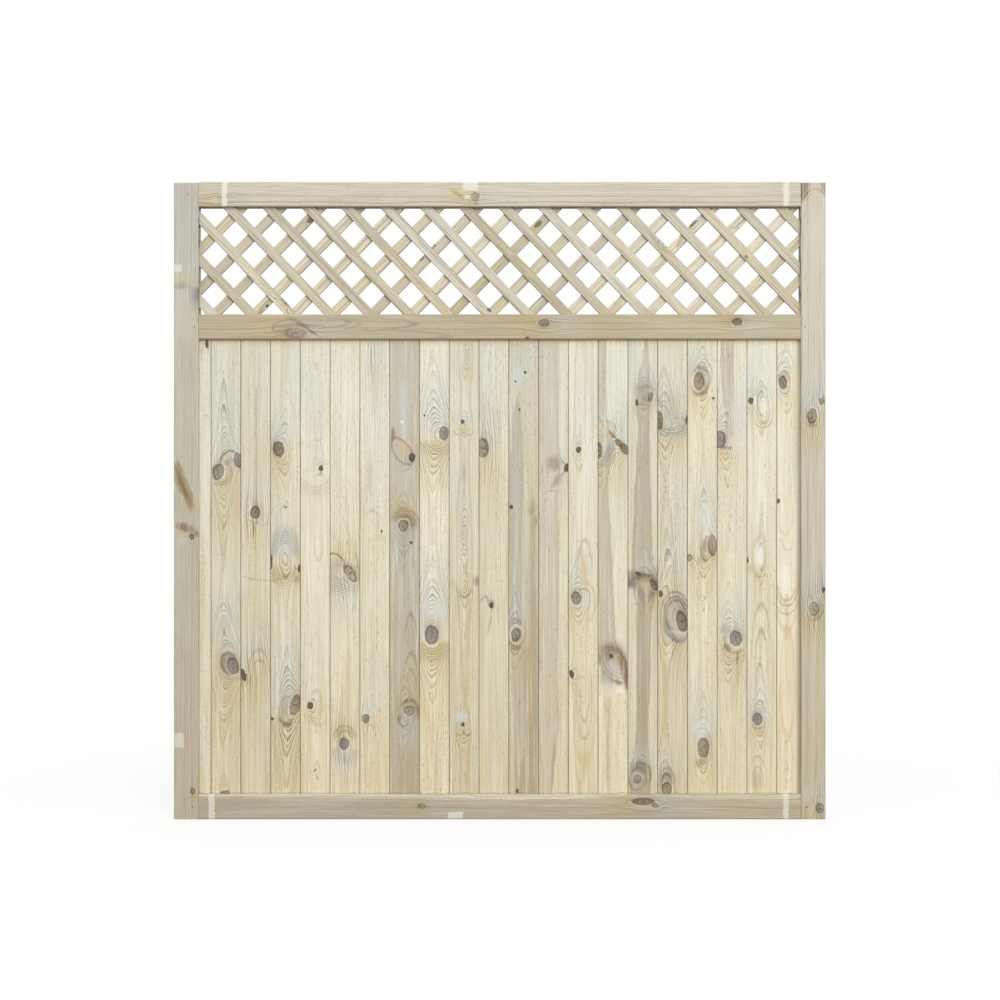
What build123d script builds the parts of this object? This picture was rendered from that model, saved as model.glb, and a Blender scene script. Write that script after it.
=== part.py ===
"""Lattice top fence panel: a jointed softwood frame that holds upright tongue and groove boards
below and two crossed layers of diagonal laths above.

Millimetres. +X runs along the panel, +Y to the back, +Z up. The origin is on the ground under the middle
of the panel, half way through its depth.
"""

import math
import os

from build123d import *

os.makedirs("parts", exist_ok=True)

# Frame timber
panel_width = 1830.0  # over the outer faces of the stiles
panel_height = 1790.0  # ground to the top of the top rail
top_rail_proud = 3.0  # how far the top rail stands above the stile ends
frame_depth = 45.0  # front to back, the same for stiles and rails
stile_face = 70.0
top_rail_face = 70.0
mid_rail_face = 70.0
bottom_rail_face = 70.0
lattice_opening = 302.0  # clear height between the top rail and the middle rail
arris_radius = 4.0  # rounding along the edges of the frame timber

# Groove that runs round the inside of the frame and takes the boards and the laths
groove_depth = 12.0
groove_play = 0.2  # clearance on each side of what sits in the groove

# Stub tenons on the rail ends
mortise_wall = 26.0  # wood left in a stile between a mortise and its outer face
tenon_play = 0.2  # clearance above and below a tenon
tenon_end_gap = 2.0
tenon_set_in = 10.0  # the end rails' tenons stay this far from the ends of the stiles
haunch_end_gap = 0.5

# Tongue and groove boards
board_thickness = 16.0
board_cover = 83.8  # one board to the next
first_board_show = 32.5  # the first board is ripped down to this visible width
least_board_show = 20.0  # the last board is never ripped narrower than this
board_end_gap = 2.0  # left above the boards in the middle rail's groove
board_edge_gap = 2.0  # left beside the outer boards in the stile grooves
seam_gap = 0.6
seam_chamfer = 1.2
tongue_thickness = 5.0
tongue_length = 6.0
tongue_play = 0.2
tongue_end_gap = 0.6

# Lattice laths: two layers that together fill the groove as the boards do
lath_width = 27.0
lath_pitch = 110.9  # along the rails
lath_easing = 1.0  # chamfer along the edges of a lath
lath_end_gap = 1.5
front_lath_lean = 43.6  # degrees off upright, falling from left to right
back_lath_lean = 44.7  # degrees off upright, rising from left to right
front_lath_start = 47.0  # where one lath of the layer crosses the middle of the opening, along X
back_lath_start = 9.5
least_lath_run = 20.0  # a corner is left bare where a lath would show less than this along the rail

# Nails that pin the tenons through the front of the stiles
nail_radius = 1.4
nail_head_radius = 2.2
nail_head_depth = 1.2
nail_play = 0.1
nail_set = 0.4  # the heads are punched this far below the face
nail_point_cover = 10.6  # wood left behind the points
top_nail_inset = 30.0  # from the rail's shoulder
mid_nail_inset = 12.0
bottom_nail_inset = 17.0

# Wane: a stretch of the bottom rail's upper front edge that follows the outside of the log
wane_middle = 70.0  # along X
wane_length = 540.0
wane_drop = 14.0  # down the front face
wane_inset = 7.0  # back across the top

# Places that several pieces share
groove_width = board_thickness + 2 * groove_play
shoulder = panel_width / 2 - stile_face  # rails run from -shoulder to +shoulder
stile_height = panel_height - top_rail_proud
front_face = -frame_depth / 2
top_rail_low = panel_height - top_rail_face
mid_rail_high = top_rail_low - lattice_opening
mid_rail_low = mid_rail_high - mid_rail_face
mortise_depth = stile_face - mortise_wall
tenon_length = mortise_depth - tenon_end_gap
haunch_length = groove_depth - haunch_end_gap
lath_thickness = board_thickness / 2
nail_length = frame_depth - nail_set - nail_point_cover

# Each rail: its bottom and top, and the bottom and top of the wood left between its grooves
rails = {
    "top_rail": (top_rail_low, panel_height, top_rail_low + groove_depth, panel_height),
    "middle_rail": (mid_rail_low, mid_rail_high, mid_rail_low + groove_depth, mid_rail_high - groove_depth),
    "bottom_rail": (0.0, bottom_rail_face, 0.0, bottom_rail_face - groove_depth),
}
tenons = {
    "top_rail": (top_rail_low + groove_depth, stile_height - tenon_set_in),
    "middle_rail": (mid_rail_low + groove_depth, mid_rail_high - groove_depth),
    "bottom_rail": (tenon_set_in, bottom_rail_face - groove_depth),
}
nail_insets = {"top_rail": top_nail_inset, "middle_rail": mid_nail_inset, "bottom_rail": bottom_nail_inset}


def nail_seat(rail, side):
    """Where a nail enters the front of a stile: a plane on the face, looking out of it."""
    low, high = tenons[rail]
    x = side * (shoulder + nail_insets[rail])
    return Plane(origin=(x, front_face, (low + high) / 2), x_dir=(1, 0, 0), z_dir=(0, -1, 0))


def finish(part, name):
    """Names a piece and writes it to its own file."""
    part.label = name
    export_step(part, f"parts/{name}.step")


# Stiles, with the groove, three mortises and the nail holes
for side, name in ((-1, "left_stile"), (1, "right_stile")):
    with BuildPart() as stile:
        with BuildSketch(Plane.XY) as section:
            with Locations((side * (shoulder + stile_face / 2), 0)):
                Rectangle(stile_face, frame_depth)
            fillet(section.vertices(), arris_radius)
            with Locations((side * (shoulder + groove_depth / 2), 0)):
                Rectangle(groove_depth, groove_width, mode=Mode.SUBTRACT)
        extrude(amount=stile_height)
        for low, high in tenons.values():
            with BuildSketch(Plane.XY.offset(low - tenon_play)):
                with Locations((side * (shoulder + mortise_depth / 2), 0)):
                    Rectangle(mortise_depth, groove_width)
            extrude(amount=high - low + 2 * tenon_play, mode=Mode.SUBTRACT)
        for rail in rails:
            with Locations(nail_seat(rail, side)):
                CounterBoreHole(
                    nail_radius + nail_play,
                    nail_head_radius + nail_play,
                    nail_set + nail_head_depth,
                    nail_set + nail_length + nail_play,
                )
    finish(stile.part, name)

# Rails, grooved along the edges that face an opening, with a stub tenon and a haunch at each end
for name, (low, high, web_low, web_high) in rails.items():
    tenon_low, tenon_high = tenons[name]
    with BuildPart() as rail:
        with BuildSketch(Plane.YZ.offset(-shoulder)) as section:
            with Locations((0, (low + high) / 2)):
                Rectangle(frame_depth, high - low)
            fillet(section.vertices(), arris_radius)
            for edge, web in ((low, web_low), (high, web_high)):
                if edge != web:
                    with Locations((0, (edge + web) / 2)):
                        Rectangle(groove_width, abs(edge - web), mode=Mode.SUBTRACT)
        extrude(amount=2 * shoulder)
        for reach, stub_low, stub_high in (
            (haunch_length, web_low, web_high),
            (tenon_length, tenon_low, tenon_high),
        ):
            with BuildSketch(Plane.YZ.offset(-shoulder - reach)):
                with Locations((0, (stub_low + stub_high) / 2)):
                    Rectangle(board_thickness, stub_high - stub_low)
            extrude(amount=2 * (shoulder + reach))
        for side in (-1, 1):
            with Locations(nail_seat(name, side)):
                Hole(nail_radius + nail_play, nail_set + nail_length + nail_play)
        if name == "bottom_rail":
            # A wide shallow scoop across the edge, deepest at its middle and running out at both ends
            slope = math.hypot(wane_drop, wane_inset)
            wane_depth = wane_drop * wane_inset / slope
            scoop_radius = wane_length**2 / (8 * wane_depth)
            outward = Vector(0, -wane_drop, wane_inset) / slope
            along_face = Vector(0, wane_inset, wane_drop) / slope
            edge = Vector(wane_middle, front_face, high)
            centre = edge + outward * (scoop_radius - wane_depth)
            scoop_height = 4 * slope  # well past the face that it leaves
            with Locations(Plane(origin=centre, x_dir=(1, 0, 0), z_dir=along_face)):
                Cylinder(scoop_radius, scoop_height, mode=Mode.SUBTRACT)
    finish(rail.part, name)

# Nails, one through each tenon
nail_profile = (
    (0, 0),
    (nail_head_radius, 0),
    (nail_head_radius, -nail_head_depth),
    (nail_radius, -nail_head_depth),
    (nail_radius, nail_radius - nail_length),
    (0, -nail_length),
)
with BuildPart() as nail:
    with BuildSketch(Plane.XZ):
        with BuildLine():
            Polyline(*nail_profile, close=True)
        make_face()
    revolve(axis=Axis.Z)
with BuildPart() as nails:
    for rail in rails:
        for side in (-1, 1):
            with Locations(nail_seat(rail, side).offset(-nail_set)):
                add(nail.part)
finish(nails.part, "tenon_nails")

# Boards, from the ripped first one to the ripped last one. Each has a tongue on its right edge and a groove
# on its left, and the two outer edges are plain and sit in the stile grooves.
board_low = bottom_rail_face - groove_depth
board_high = mid_rail_low + groove_depth - board_end_gap
outer_edge = shoulder + groove_depth - board_edge_gap
first_seam = first_board_show - shoulder
whole_boards = math.floor((shoulder - first_seam - least_board_show) / board_cover)
seams = [first_seam + i * board_cover for i in range(whole_boards + 1)]
for index in range(whole_boards + 2):
    first = index == 0
    last = index == whole_boards + 1
    left = -outer_edge if first else seams[index - 1] + seam_gap / 2
    right = outer_edge if last else seams[index] - seam_gap / 2
    with BuildPart() as board:
        with BuildSketch(Plane.XY.offset(board_low)) as section:
            with Locations(((left + right) / 2, 0)):
                Rectangle(right - left, board_thickness)
            corners = section.vertices().group_by(Axis.X)
            seam_corners = ([] if first else corners[0]) + ([] if last else corners[-1])
            chamfer(seam_corners, seam_chamfer)
            if not last:
                with Locations((right, 0)):
                    Rectangle(2 * tongue_length, tongue_thickness)
            if not first:
                slot_depth = tongue_length + tongue_end_gap
                with Locations((left, 0)):
                    Rectangle(2 * slot_depth, tongue_thickness + 2 * tongue_play, mode=Mode.SUBTRACT)
        extrude(amount=board_high - board_low)
    finish(board.part, f"board_{index + 1:02d}")


def cut_lath(x, lean, back):
    """One lath that crosses the middle of the lattice opening at x, cut off inside the frame's groove.
    It stands on the floor of the middle rail's groove."""
    floor = mid_rail_high - groove_depth
    roof = top_rail_low + groove_depth - lath_end_gap
    side = shoulder + groove_depth - lath_end_gap
    stock_length = 2 * panel_width  # before it is cut off
    with BuildPart() as lath:
        with BuildSketch(Plane.XZ.offset(-lath_thickness if back else 0)):
            with Locations((x, (mid_rail_high + top_rail_low) / 2)):
                Rectangle(lath_width, stock_length, rotation=-lean if back else lean)
            with Locations((0, (floor + roof) / 2)):
                Rectangle(2 * side, roof - floor, mode=Mode.INTERSECT)
        extrude(amount=lath_thickness)
        grain = Vector(math.sin(math.radians(lean if back else -lean)), 0, math.cos(math.radians(lean)))
        chamfer(lath.edges().filter_by(Axis((0, 0, 0), grain)), lath_easing)
    return lath.part


def lath_places(start, lean):
    """Where the laths of a layer cross the middle of the opening, from left to right."""
    reach = shoulder + lattice_opening / 2 * math.tan(math.radians(lean)) - least_lath_run
    steps = math.ceil(2 * reach / lath_pitch)
    places = [start + i * lath_pitch for i in range(-steps, steps + 1)]
    return [x for x in places if abs(x) < reach]


# Laths of both layers. The short ones at opposite corners of a layer share one file.
layers = (
    ("front", front_lath_start, front_lath_lean, False),
    ("back", back_lath_start, back_lath_lean, True),
)
for layer, start, lean, back in layers:
    laths = [cut_lath(x, lean, back) for x in lath_places(start, lean)]
    for index, lath in enumerate(laths[1:-1]):
        finish(lath, f"{layer}_lath_{index + 1:02d}")
    with BuildPart() as corner_laths:
        add([laths[0], laths[-1]])
    finish(corner_laths.part, f"{layer}_corner_laths")
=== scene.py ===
"""Lattice top fence panel: the figure and finish of its timber, the staples behind its lattice, and a plain
studio to see it in. Sizes are millimetres where a name or a comment says so, and metres elsewhere."""

import math
import random

import bmesh
import bpy
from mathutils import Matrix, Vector


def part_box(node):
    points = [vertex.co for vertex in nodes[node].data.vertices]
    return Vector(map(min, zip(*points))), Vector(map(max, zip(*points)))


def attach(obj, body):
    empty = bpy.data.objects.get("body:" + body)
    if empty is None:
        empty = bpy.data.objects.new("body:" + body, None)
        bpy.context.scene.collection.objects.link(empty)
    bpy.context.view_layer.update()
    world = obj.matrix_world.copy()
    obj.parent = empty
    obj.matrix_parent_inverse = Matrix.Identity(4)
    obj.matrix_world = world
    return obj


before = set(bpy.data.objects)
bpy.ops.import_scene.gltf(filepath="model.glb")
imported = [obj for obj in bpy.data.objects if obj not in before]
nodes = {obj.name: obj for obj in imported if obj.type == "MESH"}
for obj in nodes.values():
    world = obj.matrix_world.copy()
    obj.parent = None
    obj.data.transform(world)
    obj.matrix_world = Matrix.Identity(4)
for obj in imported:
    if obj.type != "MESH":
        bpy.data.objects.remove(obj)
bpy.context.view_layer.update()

MM = 0.001
QUARTER_TURN = math.radians(90)

# How fine each kind of figure is: spots in a metre across the face, through it and along the grain
WOBBLE_SPOTS = (80.0, 30.0, 26.0)
TREMBLE_SPOTS = (230.0, 60.0, 160.0)
FIBRE_SPOTS = (230.0, 150.0, 5.0)
HAIR_SPOTS = (640.0, 400.0, 16.0)
STREAK_SPOTS = (40.0, 30.0, 1.4)
CLOUD_SPOTS = (13.0, 9.0, 3.4)
PIT_SPOTS = (420.0, 200.0, 120.0)
SPECK_SPOTS = (270.0, 60.0, 220.0)
RUST_SPOTS = (900.0, 900.0, 900.0)
SWAY_SPOTS = 2.1  # along the log
GROWTH_SPOTS = 130.0  # across the rings

# How the log grew
SWAY_SPAN = 10.0 * MM  # how far its middle wanders across the face
RISE_SPAN = 16.0 * MM  # and behind it
WOBBLE_REACH = (7.0 * MM, 0.0, 9.0 * MM)
TREMBLE_REACH = (6.0 * MM, 0.0, 7.0 * MM)
WOBBLE_IN_RINGS = 0.5
UNEVEN_YEARS = 1.3
LATE_WOOD_POWER = 3.0  # how late in the year the wood darkens
BULGE_BASE = math.exp(-1.3)  # what is left of a bulge one oval away from its middle
PARTING_SHARE = 0.6  # of the push, where rings part to the left and the right of a knot
BEND_WIDTH = 2.0  # of the oval that bends the rings round a knot, in girths of the knot
BEND_HEIGHT = 3.4
BEND_PUSH = 1.5
FULL_GIRTH = 26  # mm: a knot from here on darkens the rings in full
SWELL_SHARE = 0.7  # how much a knot below the face darkens them

# Marks on the face
STRIPE_END = 12.0 * MM  # how softly a stripe ends, along the grain
STRIPE_RIM = 12.0 * MM
KNOT_RING = 4.6  # mm from one ring in a knot to the next
HALO_RING = 8.0  # mm from one ring round a knot to the next
LARGE_KNOT = 24  # mm: taller ones show years, a check and a halo
KNOT_SOLID = 0.92
FAINT_SOLID = 0.5
PART_ROUND_SOFT = 0.4
END_GRAIN_SHARE = 0.75
GRAIN_BUMP = 0.35 * MM
RUST_BUMP = 0.05 * MM


# Colours, as they look on a screen in plain light

def tone(red, green, blue):
    """A screen colour, 0 to 255 a channel, in the linear values that a shader takes."""
    channels = []
    for level in (red, green, blue):
        share = level / 255
        channels.append(share / 12.92 if share <= 0.04045 else ((share + 0.055) / 1.055) ** 2.4)
    return (*channels, 1.0)


CREAM = tone(231, 226, 210)
PALE = tone(240, 236, 222)
GREENISH = tone(206, 205, 182)
COOL = tone(205, 211, 204)
YELLOW = tone(212, 192, 138)
LATE_PALE = tone(194, 184, 156)
LATE_WOOD = tone(196, 164, 112)
COOL_LINE = tone(126, 126, 118)
OLIVE_LINE = tone(138, 114, 68)
NEAR_LINE = tone(150, 138, 112)
HALO_BROWN = tone(142, 122, 92)
HEART_GREY = tone(180, 168, 152)
HEART_BROWN = tone(172, 152, 122)
HEART_TINT = tone(200, 188, 166)
MAUVE = tone(185, 175, 157)
SMOKE = tone(184, 181, 174)
MAUVE_DARK = tone(150, 140, 136)
MAUVE_PALE = tone(206, 198, 188)
TAN = tone(208, 186, 144)
OLIVE = tone(198, 182, 132)
BLUE_GREY = tone(150, 146, 144)
LINE_GREY = tone(150, 148, 136)
LINE_OLIVE = tone(156, 138, 92)
STRAP_PALE = tone(232, 231, 219)
EDGE_CREAM = tone(216, 208, 186)
SLATE = tone(122, 122, 124)
BROWN = tone(136, 108, 72)
WALNUT = tone(146, 126, 102)
BARK_BROWN = tone(166, 149, 127)
STILE_BROWN = tone(158, 140, 110)
ORANGE = tone(208, 178, 130)
# The next two colours are dark dirt and checks in the figure, and also painted shade along edges, in seams
# and beside the lattice
GRIME = tone(112, 92, 66)
CRACK = tone(84, 68, 50)
END_GRAIN = tone(166, 150, 118)
STEEL = tone(118, 116, 112)
RUST = tone(104, 82, 62)
FRAME_LATE = (tone(166, 158, 142), tone(160, 142, 108))
LEFT_STILE_TONES = (tone(200, 197, 185), tone(203, 189, 163))
RIGHT_STILE_TONES = (tone(211, 205, 190), tone(198, 184, 156))
TOP_TONES = (tone(212, 206, 190), tone(208, 199, 176))
MIDDLE_TONES = (tone(192, 181, 156), tone(187, 173, 142))
BOTTOM_TONES = (tone(174, 165, 145), tone(200, 188, 161))
# Each pair is the tone at the upper end and at the lower end. The paler, cooler upper end is partly the
# wood's own tone and partly painted light.
BOARD_TONES = {
    "cream": (tone(230, 225, 207), tone(229, 213, 174)),
    "buff": (tone(223, 217, 197), tone(220, 204, 166)),
    "dun": (tone(215, 207, 187), tone(212, 195, 158)),
    "grey": (tone(200, 193, 177), tone(184, 168, 138)),
}
LATH_TONES = {
    "grey": (tone(208, 200, 180), tone(201, 191, 167)),
    "cream": (tone(219, 212, 191), tone(213, 203, 177)),
    "bluish": (tone(214, 210, 195), tone(208, 202, 183)),
    "olive": (tone(197, 188, 159), tone(184, 172, 140)),
    "tan": (tone(213, 203, 178), tone(207, 193, 162)),
    "mauve": (tone(202, 193, 174), tone(194, 182, 160)),
}

# The middle and the rim of a knot, by its look
KNOT_LOOKS = {
    "grey": (tone(170, 160, 139), tone(88, 74, 56)),
    "mauve": (tone(162, 150, 139), tone(86, 74, 64)),
    "brown": (tone(168, 152, 125), tone(94, 77, 56)),
    "bark": (tone(146, 127, 103), tone(80, 64, 48)),
    "russet": (tone(190, 168, 144), tone(106, 86, 68)),
    "red": (tone(146, 126, 110), tone(88, 66, 52)),
    "dark": (tone(96, 82, 68), tone(66, 53, 42)),
    "tan": (tone(180, 162, 132), tone(116, 96, 70)),
    "stone": (tone(174, 168, 148), tone(116, 106, 84)),
    "slate": (tone(152, 143, 136), tone(94, 85, 78)),
    "faint": (tone(208, 196, 164), tone(160, 140, 100)),
    "lilac": (tone(178, 164, 150), tone(128, 112, 102)),
}


class Value:
    """One output of a shader node. An expression on values adds its Math nodes to the same finish."""

    def __init__(self, finish, socket):
        self.finish = finish
        self.socket = socket

    def math(self, operation, *terms):
        return self.finish.node("ShaderNodeMath", {"operation": operation}, dict(enumerate(terms)))

    def __add__(self, other):
        return self.math("ADD", self, other)

    def __sub__(self, other):
        return self.math("SUBTRACT", self, other)

    def __rsub__(self, other):
        return self.math("SUBTRACT", other, self)

    def __mul__(self, other):
        return self.math("MULTIPLY", self, other)

    def __truediv__(self, other):
        return self.math("DIVIDE", self, other)

    def __pow__(self, other):
        return self.math("POWER", self, other)

    def __rpow__(self, other):
        return self.math("POWER", other, self)

    def __abs__(self):
        return self.math("ABSOLUTE", self)

    __radd__ = __add__
    __rmul__ = __mul__


class Finish:
    """The surface of one piece while its nodes are put together."""

    def __init__(self, name):
        self.material = bpy.data.materials.new(name)
        self.material.use_nodes = True
        self.tree = self.material.node_tree
        self.tree.nodes.clear()

    def node(self, kind, settings=None, sockets=None, output=0):
        made = self.tree.nodes.new(kind)
        for key, setting in (settings or {}).items():
            setattr(made, key, setting)
        for key, given in (sockets or {}).items():
            if isinstance(given, Value):
                self.tree.links.new(given.socket, made.inputs[key])
            else:
                made.inputs[key].default_value = given
        return Value(self, made.outputs[output]) if made.outputs else None

    def object_coords(self):
        return self.node("ShaderNodeTexCoord", output=3)

    def split(self, vector):
        first = self.node("ShaderNodeSeparateXYZ", None, {0: vector})
        outputs = first.socket.node.outputs
        return first, Value(self, outputs[1]), Value(self, outputs[2])

    def fade(self, value, start, end):
        """0 at start and 1 at end, eased between them. Start may be the higher one."""
        sockets = {0: value, 1: start, 2: end}
        return self.node("ShaderNodeMapRange", {"interpolation_type": "SMOOTHSTEP"}, sockets)

    def slope(self, value, start, end, low, high):
        """Low at start and high at end, in a straight line between them."""
        return self.node("ShaderNodeMapRange", None, {0: value, 1: start, 2: end, 3: low, 4: high})

    def fract(self, value):
        return self.node("ShaderNodeMath", {"operation": "FRACT"}, {0: value})

    def mix(self, amount, under, over):
        settings = {"data_type": "RGBA"}
        return self.node("ShaderNodeMix", settings, {0: amount, 6: under, 7: over}, output=2)

    def vector(self, operation, *terms, output=0):
        settings = {"operation": operation}
        return self.node("ShaderNodeVectorMath", settings, dict(enumerate(terms)), output)

    def toward(self, vector, direction):
        """How far a vector reaches in a direction."""
        return self.vector("DOT_PRODUCT", vector, direction, output=1)

    def noise(self, vector, spots, offset, detail, output=0):
        """Noise with so many spots in a metre along each axis."""
        place = self.vector("MULTIPLY_ADD", vector, spots, offset)
        sockets = {"Vector": place, "Scale": 1.0, "Detail": detail}
        return self.node("ShaderNodeTexNoise", None, sockets, output)

    def line_noise(self, value, spots, detail, output=0):
        sockets = {"W": value, "Scale": spots, "Detail": detail}
        return self.node("ShaderNodeTexNoise", {"noise_dimensions": "1D"}, sockets, output)

    def oval(self, vector, middle, size, turn=0.0):
        """The point as seen from the middle of an oval, and how far out it is: 1 on the outline."""
        sockets = {
            "Vector": vector,
            "Location": (middle[0] * MM, 0.0, middle[1] * MM),
            "Rotation": (0.0, math.radians(turn), 0.0),
            "Scale": (size[0] / 2 * MM, 10.0, size[1] / 2 * MM),
        }
        local = self.node("ShaderNodeMapping", {"vector_type": "TEXTURE"}, sockets)
        return local, self.vector("LENGTH", local, output=1)

    def part_round(self, local, side, limit):
        """1 on the named side of an oval, 0 on the far side, and 1 all round where the limit is -1."""
        if limit <= -1.0:
            return 1.0
        facing = self.toward(local, (math.cos(math.radians(side)), 0.0, math.sin(math.radians(side))))
        return self.fade(facing, limit - PART_ROUND_SOFT, limit + PART_ROUND_SOFT)

    def outline(self, along, points):
        """A line across the face through points that are given as along and across, from the lowest up."""
        edge = points[0][1] * MM
        for (low, before), (high, after) in zip(points, points[1:]):
            edge = self.fade(along, low * MM, high * MM) * ((after - before) * MM) + edge
        return edge

    def seen(self):
        """1 for what the camera sees, straight or in a reflection, and 0 for light that bounces."""
        straight = self.node("ShaderNodeLightPath")
        outputs = straight.socket.node.outputs
        total = straight + Value(self, outputs["Is Glossy Ray"])
        total = total + Value(self, outputs["Is Transmission Ray"])
        total.socket.node.use_clamp = True
        return total

    def surface(self, colour, roughness, height, bump_depth):
        bump = self.node("ShaderNodeBump", None, {"Strength": 0.6, "Distance": bump_depth, "Height": height})
        sockets = {"Base Color": colour, "Roughness": roughness, "Normal": bump, "Specular IOR Level": 0.25}
        shader = self.node("ShaderNodeBsdfPrincipled", None, sockets)
        self.node("ShaderNodeOutputMaterial", None, {"Surface": shader})
        return self.material


class Stock:
    """One length of timber: how it lay in the log, and what shows on its face.

    origin and turn lay it on the bench, with X across the face, Y through it and Z along the grain. pith is
    where the middle of the log runs, across the face and behind it, and ring is a year's growth. warm is how
    much of the second tone shows at the upper and at the lower end of the span. Lengths are millimetres,
    apart from origin and span. Any of the values below may be given as well. The marks are:

    knots    across, along, width, height, look and, if it leans, its lean: degrees to the right at its top
    swells   a knot below the face: across, along, width, height, and how far it moves the rings
    stains   across, along, width, height, tone, amount and, if it leans, its lean
    arcs     part of an oval's outline: across, along, width, height, lean, tone, amount, thickness, its side
             of the oval, in degrees up from the right, and its extent, from 1, a touch, to -1, all round
    halos    rings round an oval: as an arc, with how far out they go, in ovals, in place of the thickness
    stripes  left and right edge, each as along and across from the lowest point up, tone, amount, softness
    bars     across, along, width, height, tone, amount, softness
    grimy_edges  painted shade along an edge: where it starts, where it is full, both across, and the amount"""

    line = 0.45  # how strong the rings are
    stirred = 0.6  # how much more so near a knot
    cool = 0.5  # how much of the upper end is greyish, partly as painted light
    face = -8.0  # the front of the piece, from the middle of the panel's depth
    flip = False  # the cool side of its knots is below them
    parting = 0  # rings part round a knot: 1 with the pith to the left, -1 to the right
    pits = 0.6
    pale = 0.4
    grain = 0.42
    late = (LATE_PALE, LATE_WOOD)
    shade = None  # what its colour is multiplied by
    knots = ()
    swells = ()
    stains = ()
    arcs = ()
    halos = ()
    stripes = ()
    bars = ()
    # Painted shade, along edges and on the side named below
    grimy_edges = ()
    grimy_side = None  # which way the side with painted shade looks: a warmer, mostly darker tone
    side_grime = 0.5
    side_tone = ORANGE
    ends = False  # it shows end grain

    def __init__(self, name, origin, turn, pith, ring, tones, warm, span, **figure):
        self.name = name
        self.origin = origin
        self.turn = turn
        self.pith = pith
        self.ring = ring
        self.tones = tones
        self.warm = warm
        self.span = span
        for key, given in figure.items():
            setattr(self, key, given)

    def bends(self):
        """Where something bends the grain: its middle, the oval that the rings follow, how far they move,
        and how much they darken."""
        for across, along, wide, tall, *look in self.knots:
            girth = math.sqrt(wide * tall)
            size = (BEND_WIDTH * girth, BEND_HEIGHT * girth)
            yield (across, along), size, BEND_PUSH * girth, min(1.0, girth / FULL_GIRTH)
        for across, along, wide, tall, push in self.swells:
            yield (across, along), (wide, tall), push, SWELL_SHARE


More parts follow.
